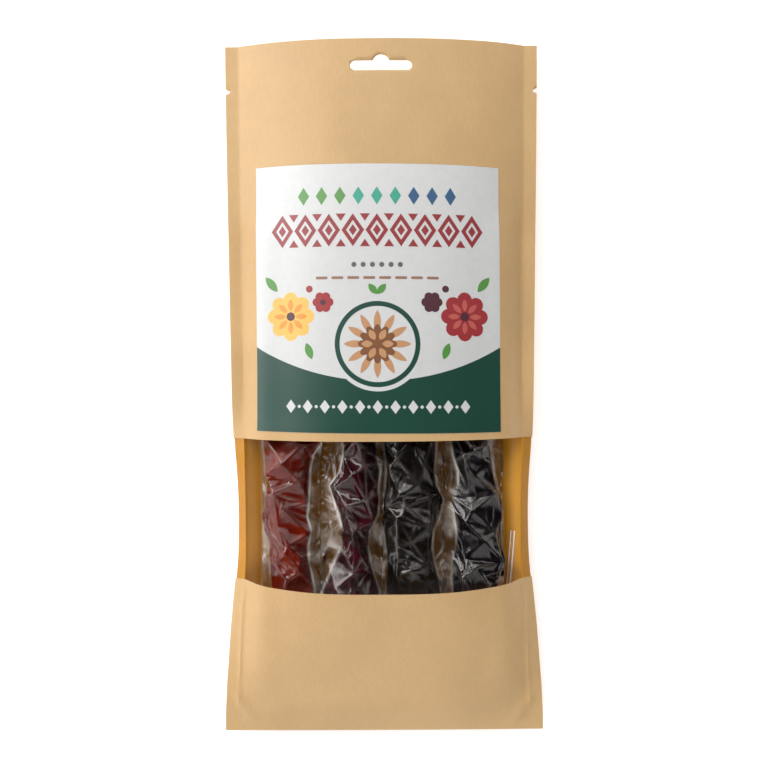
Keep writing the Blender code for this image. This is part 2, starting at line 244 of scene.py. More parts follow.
def front_dents(x, height):
    """How far the paper of the front web stands off its smooth form: soft waves, flutes at the top, and along
    the side seals ripples, a hump, a valley, the seal's pressed line and a tuck at the bottom corners."""
    from_seal = FREE_HALF - np.abs(x)
    inside = eased(from_seal, 14 * MM)
    above = eased(height - WINDOW_TOP, 12 * MM)
    below = eased(WINDOW_BOTTOM - height, 12 * MM) * eased(height - BOTTOM_SEAL, 10 * MM)
    upper = eased(height - 258 * MM, 14 * MM) * eased(POUCH_HEIGHT - height, 12 * MM)
    filled = eased(height - 12 * MM, 20 * MM) * eased(238 * MM - height, 16 * MM)
    corner = eased(height - 2 * MM, 4 * MM) * eased(24 * MM - height, 10 * MM)
    soft = 0.35 * MM * wave(x, height, 34 * MM, 46 * MM, 1) * inside
    ripple = 0.22 * MM * wave(x, height, 16 * MM, 15 * MM, 2) * hill(from_seal - 5 * MM, 5 * MM)
    flutes = 0.35 * MM * wave(x, height, 14 * MM, 60 * MM, 3) * upper * inside
    hump = 0.8 * MM * hill(from_seal - 12 * MM, 6 * MM)
    valley = 0.9 * MM * hill(from_seal - 0.5 * MM, 4.5 * MM)
    pressed = 0.45 * MM * hill(from_seal + 0.3 * MM, 0.7 * MM) * below
    tuck = 0.7 * MM * hill(from_seal - 2 * MM + 0.7 * (height - 12 * MM), 2.2 * MM) * corner
    return (soft + ripple) * (above + below) + flutes + (hump - valley) * filled + pressed + tuck


def back_dents(x, height):
    """How far the paper of the back web is lifted off the flat where the pack rests."""
    on_back = eased(height - 40 * MM, 20 * MM) * eased(250 * MM - height, 20 * MM)
    lift = 0.12 * MM * wave(x, height, 25 * MM, 30 * MM, 5) * eased(FREE_HALF - np.abs(x), 20 * MM)
    return np.abs(lift * on_back)


class Web:
    """The pouch's two webs on a 1 mm grid of flat places, which every piece on them looks up."""

    def __init__(self):
        self.across = np.linspace(-POUCH_WIDTH / 2, POUCH_WIDTH / 2, round(POUCH_WIDTH / MM) + 1)
        self.up = np.linspace(0, POUCH_HEIGHT, round(POUCH_HEIGHT / MM) + 1)
        rows = np.array([web_row(self.across, height) for height in self.up])
        x, height = np.meshgrid(self.across, self.up)
        self.inner, self.normal = {}, {}
        for name, grid, lift in (("front", rows[:, 0], front_dents(x, height)),
                                 ("back", rows[:, 1], back_dents(x, height))):
            self.normal[name] = normals(grid)
            self.inner[name] = grid + self.normal[name] * lift[..., None]

    def places(self, x, height, lift=0.0, web="front"):
        """Points at flat places (x, height), lifted upward and square to the web from its inner face."""
        columns = np.clip((np.asarray(x) - self.across[0]) / MM, 0, len(self.across) - 1)
        rows = np.clip(np.asarray(height) / MM, 0, len(self.up) - 1)
        face, away = (sampled(grid[web], rows, columns) for grid in (self.inner, self.normal))
        return face + away * np.asarray(lift)[..., None]


# Mesh helpers

def mesh_object(name, verts, faces, material, sharp=None, weld=0.0, finishes=None, milky=None):
    """A new object from points and faces. Finishes says which material each face has, and the milky and sheen
    values how far each point is drawn white, partly as whitened film and partly as painted highlight; they
    stay an attribute of the mesh."""
    mesh = bpy.data.meshes.new(name)
    mesh.from_pydata([tuple(map(float, vert)) for vert in verts], [], faces)
    if finishes is not None:
        mesh.polygons.foreach_set("material_index", np.array(finishes, dtype=np.int32))
    if milky is not None:
        mesh.attributes.new("milky", "FLOAT", "POINT").data.foreach_set("value", milky)
    return finish_mesh(name, mesh, material, sharp, weld)


def finish_mesh(name, mesh, material, sharp=None, weld=0.0):
    """Gives a mesh its object, material and smooth shading, with its faces turned outward. Points nearer
    than weld are joined, and edges that turn by more than sharp degrees stay sharp."""
    bm = bmesh.new()
    bm.from_mesh(mesh)
    if weld:
        bmesh.ops.remove_doubles(bm, verts=bm.verts, dist=weld)
    bmesh.ops.recalc_face_normals(bm, faces=bm.faces)
    bm.to_mesh(mesh)
    bm.free()
    if material:
        mesh.materials.append(material)
    mesh.shade_smooth()
    if sharp:
        mesh.set_sharp_from_angle(angle=math.radians(sharp))
    obj = bpy.data.objects.new(name, mesh)
    bpy.context.scene.collection.objects.link(obj)
    return obj


def closed_sheet(name, top, bottom, material, sharp=None, milky=None):
    """A closed mesh of a top and a bottom grid of points, welded where their edges meet. The milky and sheen
    values say how far the top is drawn white at each point: whitened film and painted highlight."""
    rows, columns = top.shape[:2]
    index = np.arange(2 * rows * columns).reshape(2, rows, columns)
    cells = np.stack([index[:, :-1, :-1], index[:, :-1, 1:], index[:, 1:, 1:], index[:, 1:, :-1]], axis=-1)
    rim = np.concatenate([index[:, 0, :-1], index[:, :-1, -1],
                          index[:, -1, :0:-1], index[:, :0:-1, 0]], axis=1)
    walls = np.stack([rim[0], np.roll(rim[0], -1), np.roll(rim[1], -1), rim[1]], axis=-1)
    faces = np.concatenate([cells.reshape(-1, 4), walls]).tolist()
    verts = np.concatenate([top.reshape(-1, 3), bottom.reshape(-1, 3)])
    if milky is not None:
        milky = np.concatenate([milky.ravel(), np.zeros(rows * columns)])
    return mesh_object(name, verts, faces, material, sharp, WELD, milky=milky)


def extruded(bm, faces):
    """Extrudes flat faces of a bmesh and gives the new points."""
    made = bmesh.ops.extrude_face_region(bm, geom=faces)
    return [part for part in made["geom"] if isinstance(part, bmesh.types.BMVert)]


def cut(obj, outline, low, high):
    """Cuts an upright hole with the given (x, y) outline through obj."""
    bm = bmesh.new()
    face = bm.faces.new([bm.verts.new((x, y, low)) for x, y in outline])
    bmesh.ops.translate(bm, verts=extruded(bm, [face]), vec=(0, 0, high - low))
    mesh = bpy.data.meshes.new("cutter")
    bm.to_mesh(mesh)
    bm.free()
    cutter = finish_mesh("cutter", mesh, None)
    modifier = obj.modifiers.new("cut", "BOOLEAN")
    modifier.operation = "DIFFERENCE"
    modifier.solver = "EXACT"
    modifier.object = cutter
    with_hole = bpy.data.meshes.new_from_object(obj.evaluated_get(bpy.context.evaluated_depsgraph_get()))
    uncut = obj.data
    obj.modifiers.clear()
    obj.data = with_hole
    bpy.data.meshes.remove(uncut)
    bpy.data.objects.remove(cutter)


def arc(centre, radius, start, end, steps):
    """Points of an arc about a centre, angles in degrees, both ends included."""
    angles = [math.radians(start + (end - start) * k / steps) for k in range(steps + 1)]
    return [(centre[0] + radius * math.cos(a), centre[1] + radius * math.sin(a)) for a in angles]


def place_piece(obj, slot, *nodes):
    """Ties a piece to the pack and hides the solids that it stands for; the slot is not used."""
    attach(obj, BODY)
    if nodes:
        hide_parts(*nodes)


# Kraft paper

def kraft_material(name, colour, roughness, gloss, depth):
    """Unbleached kraft paper with a clear laminate: long wood fibres show as faint streaks and specks, and
    the laminate gives a wide soft sheen. Some light comes through the thin paper and warms the inside."""
    material, tree = new_material(name)
    where = node(tree, "TexCoord").outputs["Object"]
    cloud = node(tree, "TexNoise", {"Scale": per_metre(38), "Detail": 3.0, "Roughness": 0.55},
                 {"Vector": where})
    # Real fibres are far finer: they are drawn 0.9 mm apart, as coarse as they need to be to show.
    stretched = node(tree, "Mapping", {"Scale": (1.0, 0.22, 1.0), "Rotation": (0, 0, 0.5)}, {"Vector": where})
    fibre = node(tree, "TexNoise", {"Scale": per_metre(0.9), "Detail": 2.0}, {"Vector": stretched})
    speck = node(tree, "TexVoronoi", {"Scale": per_metre(5.0), "Randomness": 1.0}, {"Vector": where})
    near = node(tree, "MapRange", {"From Min": 0.02, "From Max": 0.05, "To Min": 1.0, "To Max": 0.0},
                {"Value": speck})
    tone = node(tree, "ValToRGB", {}, {"Fac": cloud})
    for stop, place, factor in zip(tone.color_ramp.elements, (0.35, 0.65), (0.95, 1.05)):
        stop.position, stop.color = place, toned(colour, factor)
    streak = node(tree, "MapRange", {"From Min": 0.3, "From Max": 0.7, "To Min": 0.965, "To Max": 1.03},
                  {"Value": fibre})
    fibred = node(tree, "VectorMath", {"operation": "SCALE"}, {0: tone, "Scale": streak})
    flecked = node(tree, "Mix", {"data_type": "RGBA", "B": toned(colour, 1.25)},
                   {"Factor": near, "A": fibred})
    bump = node(tree, "Bump", {"Strength": 0.12, "Distance": depth}, {"Height": fibre})
    shader = node(tree, "BsdfPrincipled", {"Roughness": roughness, "IOR": 1.45, "Specular IOR Level": gloss},
                  {"Base Color": flecked.outputs["Result"], "Normal": bump.outputs["Normal"]})
    through = node(tree, "BsdfTranslucent", {"Color": (*[c**0.6 for c in colour[:3]], 1)})
    paper = node(tree, "MixShader", {0: 0.15}, {1: shader, 2: through})
    node(tree, "OutputMaterial", {}, {"Surface": paper})
    return material


def paper_lines():
    """The grid of flat places for the paper: 1 mm beside the seals, where it creases, and 2 mm elsewhere."""
    half = POUCH_WIDTH / 2
    near = np.arange(FREE_HALF - 3 * MM, half + 0.1 * MM, 1 * MM)
    middle = np.linspace(-FREE_HALF + 3 * MM, FREE_HALF - 3 * MM, 63)
    across = np.unique(np.round(np.concatenate([-near, middle, near]), 6))
    stops = [0, BOTTOM_SEAL, WINDOW_BOTTOM, WINDOW_TOP, POUCH_HEIGHT - TOP_SEAL, POUCH_HEIGHT]
    up = [0.0]
    for stop in stops[1:]:
        up += list(np.linspace(up[-1], stop, max(1, round((stop - up[-1]) / (2 * MM))) + 1))[1:]
    return across, np.array(up)


def paper_layers(web, across, up, paper):
    """Points of the pouch's skin: a grid for each face of the paper and one for where its webs meet."""
    x, height = np.meshgrid(across, up)
    layers = {
        "front outer": web.places(x, height, SOLID_PAPER, "front"),
        "front inner": web.places(x, height, SOLID_PAPER - paper, "front"),
        "back inner": web.places(x, height, -SOLID_PAPER + paper, "back"),
        "back outer": web.places(x, height, -SOLID_PAPER + 0.01 * MM, "back"),
    }
    layers["middle"] = (layers["front inner"] + layers["back inner"]) / 2
    return layers


OUTSIDE, INSIDE, BONDED = range(3)


def pouch_skin(web, paper):
    """Points, faces and each face's finish for the paper of both webs: one closed skin, sealed together
    round the edge and open at the window."""
    across, up = paper_lines()
    layers = paper_layers(web, across, up, paper)
    last_x, last_y = len(across) - 1, len(up) - 1
    cavity_x = [int(np.argmin(np.abs(across + side * FREE_HALF))) for side in (1, -1)]
    cavity_y = [int(np.argmin(np.abs(up - stop))) for stop in (BOTTOM_SEAL, POUCH_HEIGHT - TOP_SEAL)]
    window = [int(np.argmin(np.abs(up - stop))) for stop in (WINDOW_BOTTOM, WINDOW_TOP)]
    verts, index, faces, finishes = [], {}, [], []

    def vertex(i, j, layer):
        in_cavity = cavity_x[0] < i < cavity_x[1] and cavity_y[0] < j < cavity_y[1]
        if not in_cavity and layer in ("front inner", "back inner"):
            layer = "middle"
        if (i, j, layer) not in index:
            index[i, j, layer] = len(verts)
            verts.append(layers[layer][j, i])
        return index[i, j, layer]

    def add_face(corners, finish):
        faces.append([vertex(*corner) for corner in corners])
        finishes.append(finish)

    def cell(i, j, layer, finish=OUTSIDE):
        add_face([(i, j, layer), (i + 1, j, layer), (i + 1, j + 1, layer), (i, j + 1, layer)], finish)

    def wall(start, end, web_name):
        outer, inner = web_name + " outer", web_name + " inner"
        add_face([(*start, inner), (*end, inner), (*end, outer), (*start, outer)], OUTSIDE)

    for i in range(last_x):
        for j in range(last_y):
            in_window = window[0] <= j < window[1]
            over_cavity = cavity_x[0] <= i < cavity_x[1] and cavity_y[0] <= j < cavity_y[1]
            cell(i, j, "back outer")
            if not in_window:
                cell(i, j, "front outer")
            if over_cavity or in_window:
                cell(i, j, "back inner", INSIDE if over_cavity else BONDED)
            if over_cavity and not in_window:
                cell(i, j, "front inner", INSIDE)
    for j in range(last_y):
        for i in (0, last_x):
            wall((i, j), (i, j + 1), "back")
            if not window[0] <= j < window[1]:
                wall((i, j), (i, j + 1), "front")
    for i in range(last_x):
        for j in (0, last_y):
            wall((i, j), (i + 1, j), "back")
        for j in (0, last_y, *window):
            wall((i, j), (i + 1, j), "front")
    return verts, faces, finishes


def make_pouch(web, settings):
    """The kraft pouch, with its hang hole and tear notches cut through."""
    verts, faces, finishes = pouch_skin(web, settings.paper_thickness)
    outer, inner, bonded = (kraft_material("kraft paper, " + name, colour, roughness, gloss, grain * MM)
                            for name, colour, roughness, gloss, grain in (
                                ("laminated outside", settings.kraft, 0.4, 0.5, 0.04),
                                # The inside's colour is brighter than the paper really is: painted light for
                                # what reaches into the pouch.
                                ("film-lined inside", settings.kraft_inside_lit, 0.5, 0.15, 0.02),
                                ("wetted by the bonded film", settings.kraft_bonded, 0.6, 0.0, 0.02)))
    pouch = mesh_object("kraft_pouch", verts, faces, outer, sharp=30, finishes=finishes)
    pouch.data.materials.append(inner)
    pouch.data.materials.append(bonded)
    for outline in (slot_outline(web), notch_outline(web, -1), notch_outline(web, 1)):
        cut(pouch, outline, -10 * MM, 60 * MM)
    place_piece(pouch, "kraft_paper", "pouch")


def slot_outline(web):
    """The hang hole seen from above: a round-ended bar with a round hump over its middle."""
    base = float(web.places(0.0, POUCH_HEIGHT - SLOT_BELOW_TOP)[1])
    end = SLOT_BAR / 2
    reach = SLOT_WIDTH / 2 - end
    rise = math.degrees(math.asin((SLOT_BAR - SLOT_HUMP_RADIUS) / SLOT_HUMP_RADIUS))
    right = arc((reach, base + end), end, -90, 90, 16)
    hump = arc((0, base + SLOT_HUMP_RADIUS), SLOT_HUMP_RADIUS, rise, 180 - rise, 16)
    left = arc((-reach, base + end), end, 90, 270, 16)
    return right + hump + left


def notch_outline(web, side):
    """A tear notch: a small wedge that points in from the side seal's edge."""
    x, y, _ = web.places(side * POUCH_WIDTH / 2, POUCH_HEIGHT - NOTCH_BELOW_TOP)
    half = NOTCH_HEIGHT / 2
    outer, tip = x + side * NOTCH_DEPTH, x - side * NOTCH_DEPTH
    return [(outer, y - 2 * half), (outer, y + 2 * half), (tip, y + half / 4), (tip, y - half / 4)]


# Clear films

def film_material(name, roughness, layers, tint):
    """Clear plastic film: see-through, with sharp reflections that grow at a slant, and drawn white where it
    is folded hard or a highlight is painted on. Layers is how many faces of the real film each modelled face
    stands for."""
    material, tree = new_material(name)
    slant = node(tree, "LayerWeight", {"Blend": 0.5})
    rise = node(tree, "Math", {"operation": "POWER", 1: 5.0}, {0: slant.outputs["Facing"]})
    share = node(tree, "MapRange", {"To Min": 0.04 * layers, "To Max": min(1.0, layers)}, {"Value": rise})
    clear = node(tree, "BsdfTransparent", {"Color": linear(tint)})
    gloss = node(tree, "BsdfGlossy", {"Roughness": roughness, "Color": linear("#ffffff")})
    mixed = node(tree, "MixShader", {}, {0: share, 1: clear, 2: gloss})
    # Matt white, mixed in by a mesh attribute, stands for film whitened at its folds and for painted
    # highlights.
    white = node(tree, "BsdfDiffuse", {"Color": linear("#eeeae4")})
    milky = node(tree, "Attribute", {"attribute_name": "milky"})
    film = node(tree, "MixShader", {}, {0: milky.outputs["Fac"], 1: mixed, 2: white})
    node(tree, "OutputMaterial", {}, {"Surface": film})
    return material


def make_window(web):
    """The clear film band of the window, taut, with slight waves that bend its reflections."""
    across = np.linspace(-POUCH_WIDTH / 2 + 0.3 * MM, POUCH_WIDTH / 2 - 0.3 * MM, 110)
    up = np.linspace(WINDOW_BOTTOM + 0.1 * MM, WINDOW_TOP - 0.1 * MM, 56)
    x, height = np.meshgrid(across, up)
    from_seal = FREE_HALF - np.abs(x)
    free = eased(from_seal, 6 * MM) * eased(height - WINDOW_BOTTOM, 8 * MM)
    free = free * eased(WINDOW_TOP - height, 8 * MM)
    ripple = free * (0.12 * MM * wave(x, height, 9 * MM, 16 * MM, 11)
                     + 0.5 * MM * hill(from_seal - 8 * MM, 6 * MM) * wave(x, height, 11 * MM, 19 * MM, 12))
    # Cast film is glass-clear, so its reflections stay crisp and faint.
    material = film_material("clear window film, cast", 0.03, 0.2, "#fefdfc")
    film = closed_sheet("window_film_sheet", web.places(x, height, 0.38 * MM + ripple),
                        web.places(x, height, 0.32 * MM + ripple), material, sharp=40)
    place_piece(film, "clear_film", "window_film")


# The churchkhela and their bags

def seen_across(columns):
    """Places across, in millimetres to one decimal, that columns of the photo show."""
    return np.round((np.array(columns) - PHOTO_MIDDLE) / PIXELS_PER_MM + MIDDLE_ACROSS, 1)


class Stick:
    """The outline of one churchkhela, from the solids' numbers and its edges in the window."""

    def __init__(self, name):
        place, half_width, half_height, room, pitch, swell, lean, nut_place, seed = STICKS[name]
        self.name = name
        self.place, self.half_width, self.half_height = place * MM, half_width * MM, half_height * MM
        self.room = [edge * MM for edge in room]
        self.pitch, self.swell, self.lean, self.nut_place = pitch * MM, swell * MM, lean, nut_place * MM
        self.sizes = np.random.default_rng(seed).uniform(0.75, 1.15, 21)
        self.seed = seed

    def nut_swell(self, y, side):
        """How far the nuts push the core out on one side."""
        turns = np.arange(len(self.sizes)) - len(self.sizes) // 2
        share = np.where((side > 0) == (turns % 2 == 0), 1.0, 1 - self.lean)
        from_nut = np.asarray(y)[..., None] - self.nut_place - turns * self.pitch
        return np.sum(share * self.sizes * self.swell * hill(from_nut, NUT_SPREAD * self.pitch), axis=-1)

    def edge(self, y, side):
        """The place across of the core's left or right edge, before its ends taper."""
        room = abs(self.room[side > 0] - self.place) - 0.8 * MM
        plain = self.place + side * np.minimum(self.half_width + self.nut_swell(y, side), room)
        shown = np.interp(y, EDGE_PLACES, seen_across(EDGES[self.name][side > 0])) * MM
        share = eased(y - SHOWN_LOW, 6 * MM) * eased(SHOWN_HIGH - y, 6 * MM)
        return plain * (1 - share) + shown * share

    def section(self, y):
        """Left edge, right edge, half height and middle height of the core at each place along."""
        along = np.clip((y - CORE_BOTTOM) / (CORE_TOP - CORE_BOTTOM), 0.0, 1.0)
        taper = np.sqrt(np.clip(1 - np.abs(2 * along - 1) ** 9, 0, 1))
        left, right = (self.place + taper * (self.edge(y, side) - self.place) for side in (-1, 1))
        swell = 0.3 * (self.nut_swell(y, -1) + self.nut_swell(y, 1))
        rise = np.maximum(0.3 * MM, taper * (self.half_height + swell))
        floor = np.maximum(*(kept_inside(self.place + aside, y, 0.0)
                             for aside in (-self.half_width / 2, self.half_width / 2)))
        ceiling = kept_inside(self.place, y, 1.0)
        return left, right, rise, np.minimum(floor + rise, (floor + ceiling) / 2)


MIDDLE_HEIGHTS = np.linspace(0, POUCH_HEIGHT, 200)
MIDDLE_PLACES = profile(MIDDLE_Y, MIDDLE_HEIGHTS)


def kept_inside(x, y, z, clearance=CLEARANCE):
    """The heights z, moved as little as it takes to stay clear of both webs at (x, y)."""
    height = np.interp(y, MIDDLE_PLACES, MIDDLE_HEIGHTS)
    share = np.minimum(1.0, np.abs(x) / half_chord(height))
    front, back = front_and_back(share, height)
    return np.minimum(np.maximum(z, back + clearance), front - clearance)


def juice_material(name, deep, glow):
    """Grape juice set with flour over walnuts: a dark, slightly waxy skin, redder where it is thin."""
    material, tree = new_material(name)
    where = node(tree, "TexCoord").outputs["Object"]
    cloud = node(tree, "TexNoise", {"Scale": per_metre(7), "Detail": 4.0, "Roughness": 0.6},
                 {"Vector": where})
    # The real grain of the flour is finer: it is drawn 1.1 mm apart, as coarse as it needs to be to show.
    pores = node(tree, "TexNoise", {"Scale": per_metre(1.1), "Detail": 3.0}, {"Vector": where})
    ramp = node(tree, "ValToRGB", {}, {"Fac": cloud})
    for stop, place, colour in zip(ramp.color_ramp.elements, (0.38, 0.68), (deep, glow)):
        stop.position, stop.color = place, colour
    bump = node(tree, "Bump", {"Strength": 0.35, "Distance": 0.25 * MM}, {"Height": pores})
    shader = node(tree, "BsdfPrincipled", {"Roughness": 0.34, "IOR": 1.48, "Specular IOR Level": 0.03},
                  {"Base Color": ramp, "Normal": bump.outputs["Normal"]})
    node(tree, "OutputMaterial", {}, {"Surface": shader})
    return material


def bag_rows():
    """Places along the bag: close together where the window shows it."""
    low, high = CORE_BOTTOM - BAG_TAB, CORE_TOP + BAG_TAB
    shown = np.linspace(SHOWN_LOW, SHOWN_HIGH, 47)
    below, above = np.linspace(low, SHOWN_LOW, 10)[:-1], np.linspace(SHOWN_HIGH, high, 22)[1:]
    return np.concatenate([below, shown, above])


FIN_SHARE = 0.14  # of the film's width, for the flat fin on either side
FIN_LAP = 0.25 * MM
FILM_LIFT = 0.12 * MM  # of each web off the middle of the bag
CORE_INSET = 0.35 * MM
SEAL_SHARE = 0.06  # of the film's width, over which its folds start beside a seal or the core
END_FADE = 20 * MM
# The large, medium and small facets: size as a share of the setting, and their lattice's turn in radians.
FACETS = ((1.0, 0.6), (0.6, -0.5), (0.3, 0.25))
FACET_STRETCH = 1.4
FOLD_WIDTH = 0.45 * MM
FOLD_ROUNDING = 3  # passes that round the sharp turns of the creased film
CRINKLE = 2.4 * MM  # size of the small folds along the fins
BAG_COLUMNS = 25
REFINEMENT = 4  # steps that each cell of a bag's smooth form is split into
# Where the painted highlight patches on the fins stop.
SHEEN_PATCH_TOP = -52 * MM
# How bright a painted highlight is, drawn as white film along the film's left and right edges where they
# leave the core.
FOOT_SHINE = {"churchkhela_amber": (0.2, 1.0), "churchkhela_cherry": (0.85, 0.4),
              "churchkhela_grape": (0.4, 0.45), "churchkhela_plum": (0.6, 0.3)}


def bag_web(stick, side, flare):
    """The smooth form of one web of a bag: flat fins, and an arch over the core. Side is 1 for the top web,
    and flare is how far the film stands off the foot of the core before it lies down to the fin."""
    y, u = np.meshgrid(bag_rows(), np.linspace(0, 1, BAG_COLUMNS + 1), indexing="ij")
    left, right, rise, middle = stick.section(y)
    centre, half = (left + right) / 2, np.maximum((right - left) / 2, TAB_HALF_WIDTH / 2)
    reach = np.where(u > 0.5, np.clip(stick.room[1] + FIN_LAP, centre + half, stick.place + 16 * MM),
                     np.clip(stick.room[0] - FIN_LAP, stick.place - 15 * MM, centre - half))
    angle = math.pi * (1 - np.clip((u - FIN_SHARE) / (1 - 2 * FIN_SHARE), 0.0, 1.0))
    stand_off = np.clip(0.7 * (np.abs(reach - centre) - half), 0, flare)
    x = centre + (half + stand_off * (1 - np.sin(angle)) ** 1.6) * np.cos(angle)
    x += (reach - x) * np.clip((FIN_SHARE - np.minimum(u, 1 - u)) / FIN_SHARE, 0, 1)
    z = kept_inside(x, y, middle + side * rise * np.sin(angle), 0.8 * MM)
    return refined(np.stack([x, y, z], axis=-1), REFINEMENT)


class Folds:
    """Flat three-cornered facets over a grid of points, as creased film has: a turned lattice with random
    heights at its corners, each cell folded along a diagonal, and stretch times longer one way."""

    def __init__(self, across, along, spacing, seed, turn=0.0, stretch=1.0):
        rng = np.random.default_rng(seed)
        cos, sin = math.cos(turn), math.sin(turn)
        bend = 0.5 * noise_grid(across, along, 1.3 * spacing, seed + 11)
        p = (across * cos + along * sin) / spacing + bend
        q = (along * cos - across * sin) / (spacing * stretch) - bend
        low_p, low_q = math.floor(p.min()), math.floor(q.min())
        p, q = p - low_p, q - low_q
        self.i, self.j, self.spacing = p.astype(int), q.astype(int), spacing
        shape = (self.i.max() + 2, self.j.max() + 2)
        self.corner_heights = rng.uniform(-1, 1, shape)
        self.corner_folds = np.clip(rng.uniform(-0.6, 1.1, shape), 0, 1)
        rising = rng.random(shape)[self.i, self.j] < 0.5
        s, t = p - self.i, q - self.j
        low_side = np.where(rising, s > t, s + t < 1)
        shares = (((0, 0), np.where(rising, 1 - np.maximum(s, t), 1 - s - t), rising | low_side),
                  ((1, 0), np.where(rising, s - t, np.where(low_side, s, 1 - t)), ~rising | low_side),
                  ((0, 1), np.where(rising, t - s, np.where(low_side, t, 1 - s)), ~rising | ~low_side),
                  ((1, 1), np.where(rising, np.minimum(s, t), s + t - 1), rising | ~low_side))
        self.shares = [(corner, np.where(used, share, 0.0), used) for corner, share, used in shares]
        corner_p = np.arange(shape[0])[:, None] + low_p + rng.uniform(-0.32, 0.32, shape)
        corner_q = (np.arange(shape[1])[None] + low_q + rng.uniform(-0.32, 0.32, shape)) * stretch
        self.corner_across = spacing * (corner_p * cos - corner_q * sin)
        self.corner_along = spacing * (corner_p * sin + corner_q * cos)

    def spread(self, values):
        """Values at the lattice's corners, carried in straight lines over the facets."""
        total = 0.0
        for (di, dj), share, _ in self.shares:
            at_corner = values[self.i + di, self.j + dj]
            total = total + at_corner * (share[..., None] if values.ndim == 3 else share)
        return total

    def heights(self):
        return self.spread(self.corner_heights)

    def sag(self):
        """1 at the middle of each facet and 0 along its folds: film sucked in between its folds."""
        return 27 * np.prod([np.where(used, share, 1.0) for _, share, used in self.shares], axis=0)

    def ridges(self, width):
        """1 along the folds between facets, falling to 0 beside them; some folds fade along their length."""
        strength = self.spread(self.corner_folds)
        total = 0.0
        for (di, dj), share, used in self.shares:
            own = self.corner_folds[self.i + di, self.j + dj]
            on_edge = np.clip((strength - share * own) / np.maximum(1 - share, 0.05), 0, 1)
            total = np.maximum(total, used * on_edge * hill(0.75 * share * self.spacing, width))
        return total

    def flattened(self, grid, depth, first=0):
        """The grid moved onto flat facets whose corners stand off the grid by up to depth. First is the
        column that the corners stay inside, counted from either edge."""
        across, along = plane_places(grid)
        columns = np.interp(self.corner_across, across[0], np.arange(across.shape[1]))
        columns = np.clip(columns, first, across.shape[1] - 1 - first)
        rows = np.interp(self.corner_along, along[:, 0], np.arange(len(along)))
        away = depth * self.corner_heights[..., None] * sampled(normals(grid), rows, columns)
        return self.spread(sampled(grid, rows, columns) + away)


def plane_places(grid):
    """The grid laid flat: how far across and along each point is."""
    step = np.linalg.norm(np.diff(grid, axis=1), axis=-1).mean(axis=0)
    across = np.repeat(np.concatenate([[0], np.cumsum(step)])[None], len(grid), axis=0)
    along = np.repeat(grid[..., 1].mean(axis=1)[:, None], grid.shape[1], axis=1)
    return across, along


def sampled(grid, rows, columns):
    """The grid's values at places between its rows and columns."""
    j = np.clip(rows.astype(int), 0, grid.shape[0] - 2)
    i = np.clip(columns.astype(int), 0, grid.shape[1] - 2)
    v, u = (rows - j)[..., None], (columns - i)[..., None]
    return ((grid[j, i] * (1 - u) + grid[j, i + 1] * u) * (1 - v)
            + (grid[j + 1, i] * (1 - u) + grid[j + 1, i + 1] * u) * v)


def normals(grid):
    """The upward direction, of length 1, that stands square to a grid at each of its points."""
    normal = np.cross(np.gradient(grid, axis=1), np.gradient(grid, axis=0))
    return normal / np.maximum(np.linalg.norm(normal, axis=-1, keepdims=True), 1e-12)


def refined(grid, times):
    """The grid with each cell split into times by times, on smooth curves through the old points."""
    for axis in (0, 1):
        last = grid.shape[axis] - 1
        at = np.linspace(0, last, last * times + 1)
        base = np.minimum(at.astype(int), last - 1)
        shape = [1, 1, 1]
        shape[axis] = -1
        t = (at - base).reshape(shape)
        p0, p1, p2, p3 = (np.take(grid, np.clip(base + k, 0, last), axis=axis) for k in (-1, 0, 1, 2))
        grid = 0.5 * (2 * p1 + (p2 - p0) * t + (2 * p0 - 5 * p1 + 4 * p2 - p3) * t**2
                      + (3 * p1 - p0 - 3 * p2 + p3) * t**3)
    return grid


def noise_grid(x, y, size, seed):
    """Smooth noise on a refined grid of places, worked out on the points that it was refined from."""
    coarse = wave(x[::REFINEMENT, ::REFINEMENT], y[::REFINEMENT, ::REFINEMENT], size, size, seed)
    return refined(coarse[..., None], REFINEMENT)[..., 0]


def displaced(grid, height):
    """The grid moved along its normals by the heights."""
    return grid + normals(grid) * height[..., None]


def rounded(grid, share, times):
    """The grid with its sharpest turns rounded, by the given share at each point."""
    smooth = grid
    for _ in range(times):
        for axis in (0, 1):
            smooth = 0.5 * smooth + 0.25 * (np.roll(smooth, 1, axis) + np.roll(smooth, -1, axis))
    return grid + (smooth - grid) * share[..., None]


